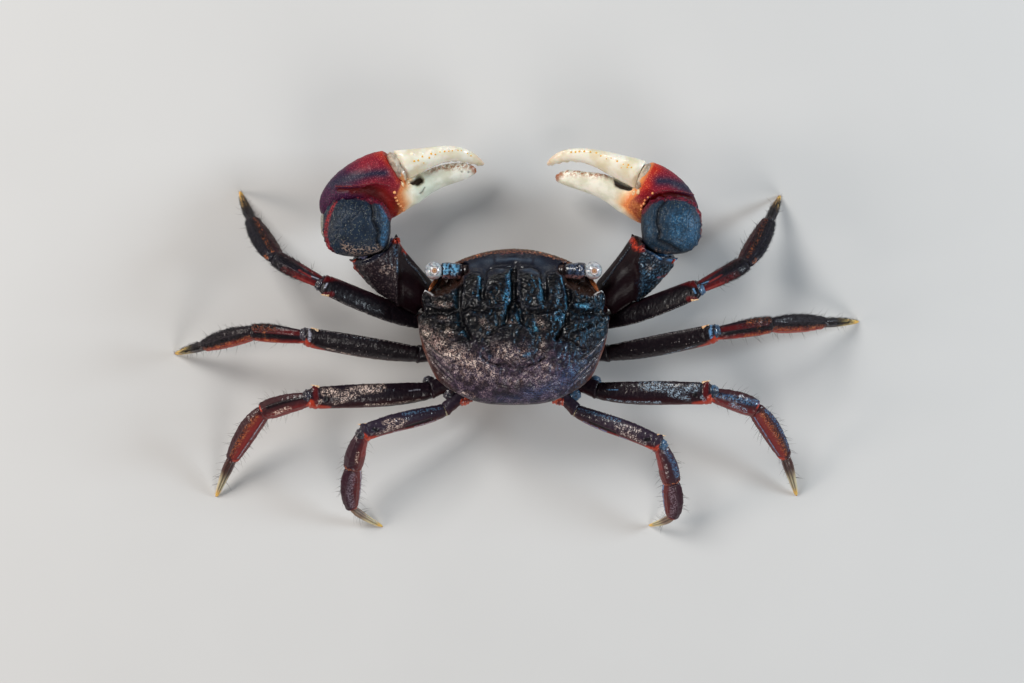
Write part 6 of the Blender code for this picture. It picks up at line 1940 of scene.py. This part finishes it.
def strands(name, roots, ways, bends, lengths, radii, patches):
    """Many three-sided spikes as one mesh. Each bends by its own vector, in shares of its length."""
    count = len(roots)
    ways = unit(ways)
    across, over = frame_along(ways)
    rows = []
    for ring in range(HAIR_RINGS):
        share = ring / HAIR_RINGS
        middle = roots + (ways * share + bends * share**2) * lengths[:, None]
        width = (radii * (1 - share) ** 0.6)[:, None]
        for turn in np.radians((90, 210, 330)):
            rows.append(middle + (across * np.cos(turn) + over * np.sin(turn)) * width)
    rows.append(roots + (ways + bends) * lengths[:, None])
    points = np.stack(rows, axis=1)
    faces = [(2, 1, 0)]
    for ring in range(HAIR_RINGS - 1):
        for k in range(3):
            near, far = ring * 3, ring * 3 + 3
            faces.append((near + k, near + (k + 1) % 3, far + (k + 1) % 3, far + k))
    last = (HAIR_RINGS - 1) * 3
    faces += [(last + k, last + (k + 1) % 3, last + 3) for k in range(3)]
    every_face = [tuple(i + n * points.shape[1] for i in face) for n in range(count) for face in faces]
    mesh = bpy.data.meshes.new(name)
    mesh.from_pydata(points.reshape(-1, 3).tolist(), [], every_face)
    mesh.shade_smooth()
    ring_share = np.append(np.repeat(np.arange(HAIR_RINGS), 3) / HAIR_RINGS, 1.0) - 0.5
    side_share = np.append(np.tile([-0.5, 0.0, 0.5], HAIR_RINGS), 0.0)
    spread = np.stack([ring_share, side_share], axis=1) * PATCH
    every_uv = (patches[:, None] + spread).reshape(-1, 2)
    corners = np.empty(len(mesh.loops), int)
    mesh.loops.foreach_get("vertex_index", corners)
    layer = mesh.uv_layers.new(name="OFBake")
    layer.data.foreach_set("uv", every_uv[corners].reshape(-1))
    obj = bpy.data.objects.new(name, mesh)
    bpy.context.scene.collection.objects.link(obj)
    return obj


def hair_finish(name, dark, light):
    finish = Finish(name, 0.55)
    tone = finish.noise(0.8, 2)
    finish.base = finish.mix(dark, light, tone.above(0.4, 0.7))
    return finish.done()


print("strand of", HAIR_RINGS, "rings")

# %% [markdown]
# Roots are drawn at random from the points of the last three segments, each with its share of the
# leg's hairs, and more of them where the felt is thick. The draw is seeded, so the same hairs grow
# each time.

# %% Grow the felt and the bristles
FELT_COUNT = {"1": 4200, "2": 2600}
BRISTLES = {"1": 40, "2": 70, "3": 80, "4": 60}
HAIRY_SEGMENTS = {2: 0.3, 3: 0.5, 4: 0.2}
SEGMENT_SHARE = {2: (0.42, 0.64), 3: (0.64, 0.86), 4: (0.86, 1.0)}


def leg_place_uv(part, chosen, number):
    """Where on the unrolled leg these points lie, its upper face in the lower half of the map."""
    low, high = SEGMENT_SHARE[number]
    u = low + (high - low) * part["along"][chosen]
    v = np.where(part["lit"][chosen] > 0.3, part["crest"][chosen] * 0.48,
                 0.98 - part["crest"][chosen] * 0.46)
    return np.column_stack([0.01 + 0.98 * u, 0.01 + 0.97 * v])


def drawn(weight, count):
    """Draws points of a segment at random, as likely as their weight."""
    total = weight.sum()
    if count < 1 or total <= 0:
        return np.array([], int)
    return rng.choice(len(weight), count, replace=False, p=weight / total)


def grow_on(key, kind):
    """Gathers the roots, ways, lengths and patches of one leg's felt or bristles."""
    pair = key[1]
    joints = [from_body(joint) for joint in LEG_JOINTS[key]]
    gathered = []
    for number, parted in HAIRY_SEGMENTS.items():
        part = legs[key][number]
        way = unit(joints[number + 1] - joints[number])
        along, crest = part["along"], part["crest"]
        if kind == "felt":
            start = rising(along, 0.25, 0.7) if number == 2 else np.ones(len(along))
            end = 1 - 0.9 * rising(along, 0.55, 0.8) if number == 4 else 1
            upper = rising(crest, 0.42, 0.6) if pair == "2" else 0.25 + 0.75 * rising(crest, 0.1, 0.35)
            weight = start * end * upper
            count = int(FELT_COUNT[pair] * parted)
        else:
            edges = np.maximum(rising(crest, 0.88, 0.97), 1 - rising(crest, 0.03, 0.12))
            weight = edges * (1 - rising(along, 0.6, 0.8)) if number == 4 else edges
            count = int(BRISTLES[pair] * parted)
        chosen = drawn(weight, count)
        stand = part["normal"][chosen]
        jitter = rng.normal(0, 0.18, (len(chosen), 3))
        if kind == "felt":
            ways, bends = stand * 0.55 + way * 0.6 + jitter, way * 0.25 - stand * 0.15
            lengths = rng.uniform(0.4, 0.95, len(chosen)) * MM
            radii = rng.uniform(0.03, 0.045, len(chosen)) * MM
        else:
            ways, bends = stand + way * 0.35 + jitter, way * 0.25 + jitter * 0.3
            lengths = rng.uniform(0.9, 2.3, len(chosen)) * MM
            radii = rng.uniform(0.025, 0.04, len(chosen)) * MM
        roots = part["place"][chosen] - stand * 0.08 * MM
        uv = leg_place_uv(part, chosen, number)
        gathered.append((roots, ways, np.broadcast_to(bends, roots.shape), lengths, radii, uv))
    return [np.concatenate(column) for column in zip(*gathered)]


felt_skin = hair_finish("felt_dark", (16, 14, 20), (42, 34, 41))
bristle_skin = hair_finish("bristle_dark", (34, 26, 26), (70, 56, 50))
for key in LEG_JOINTS:
    if key[1] in FELT_COUNT:
        felt = strands(f"leg_{key}_felt", *grow_on(key, "felt"))
        owned(felt, felt_skin, "leg")
    bristles = strands(f"leg_{key}_bristles", *grow_on(key, "bristles"))
    owned(bristles, bristle_skin, "leg")
print("hairs grown on", len(LEG_JOINTS), "legs")

# %% [markdown]
# Last, every piece of more than a set number of triangles is named in a print, and the colour view
# is set to Standard.

# %% Large pieces and the colour view
LARGE_PIECE = 150000
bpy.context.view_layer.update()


for obj in bpy.data.objects:
    if obj.type == "MESH" and obj.name not in frame["nodes"]:
        count = sum(len(face.vertices) - 2 for face in obj.data.polygons)
        if count > LARGE_PIECE:
            print("large piece:", obj.name, count)
bpy.context.scene.view_settings.view_transform = "Standard"
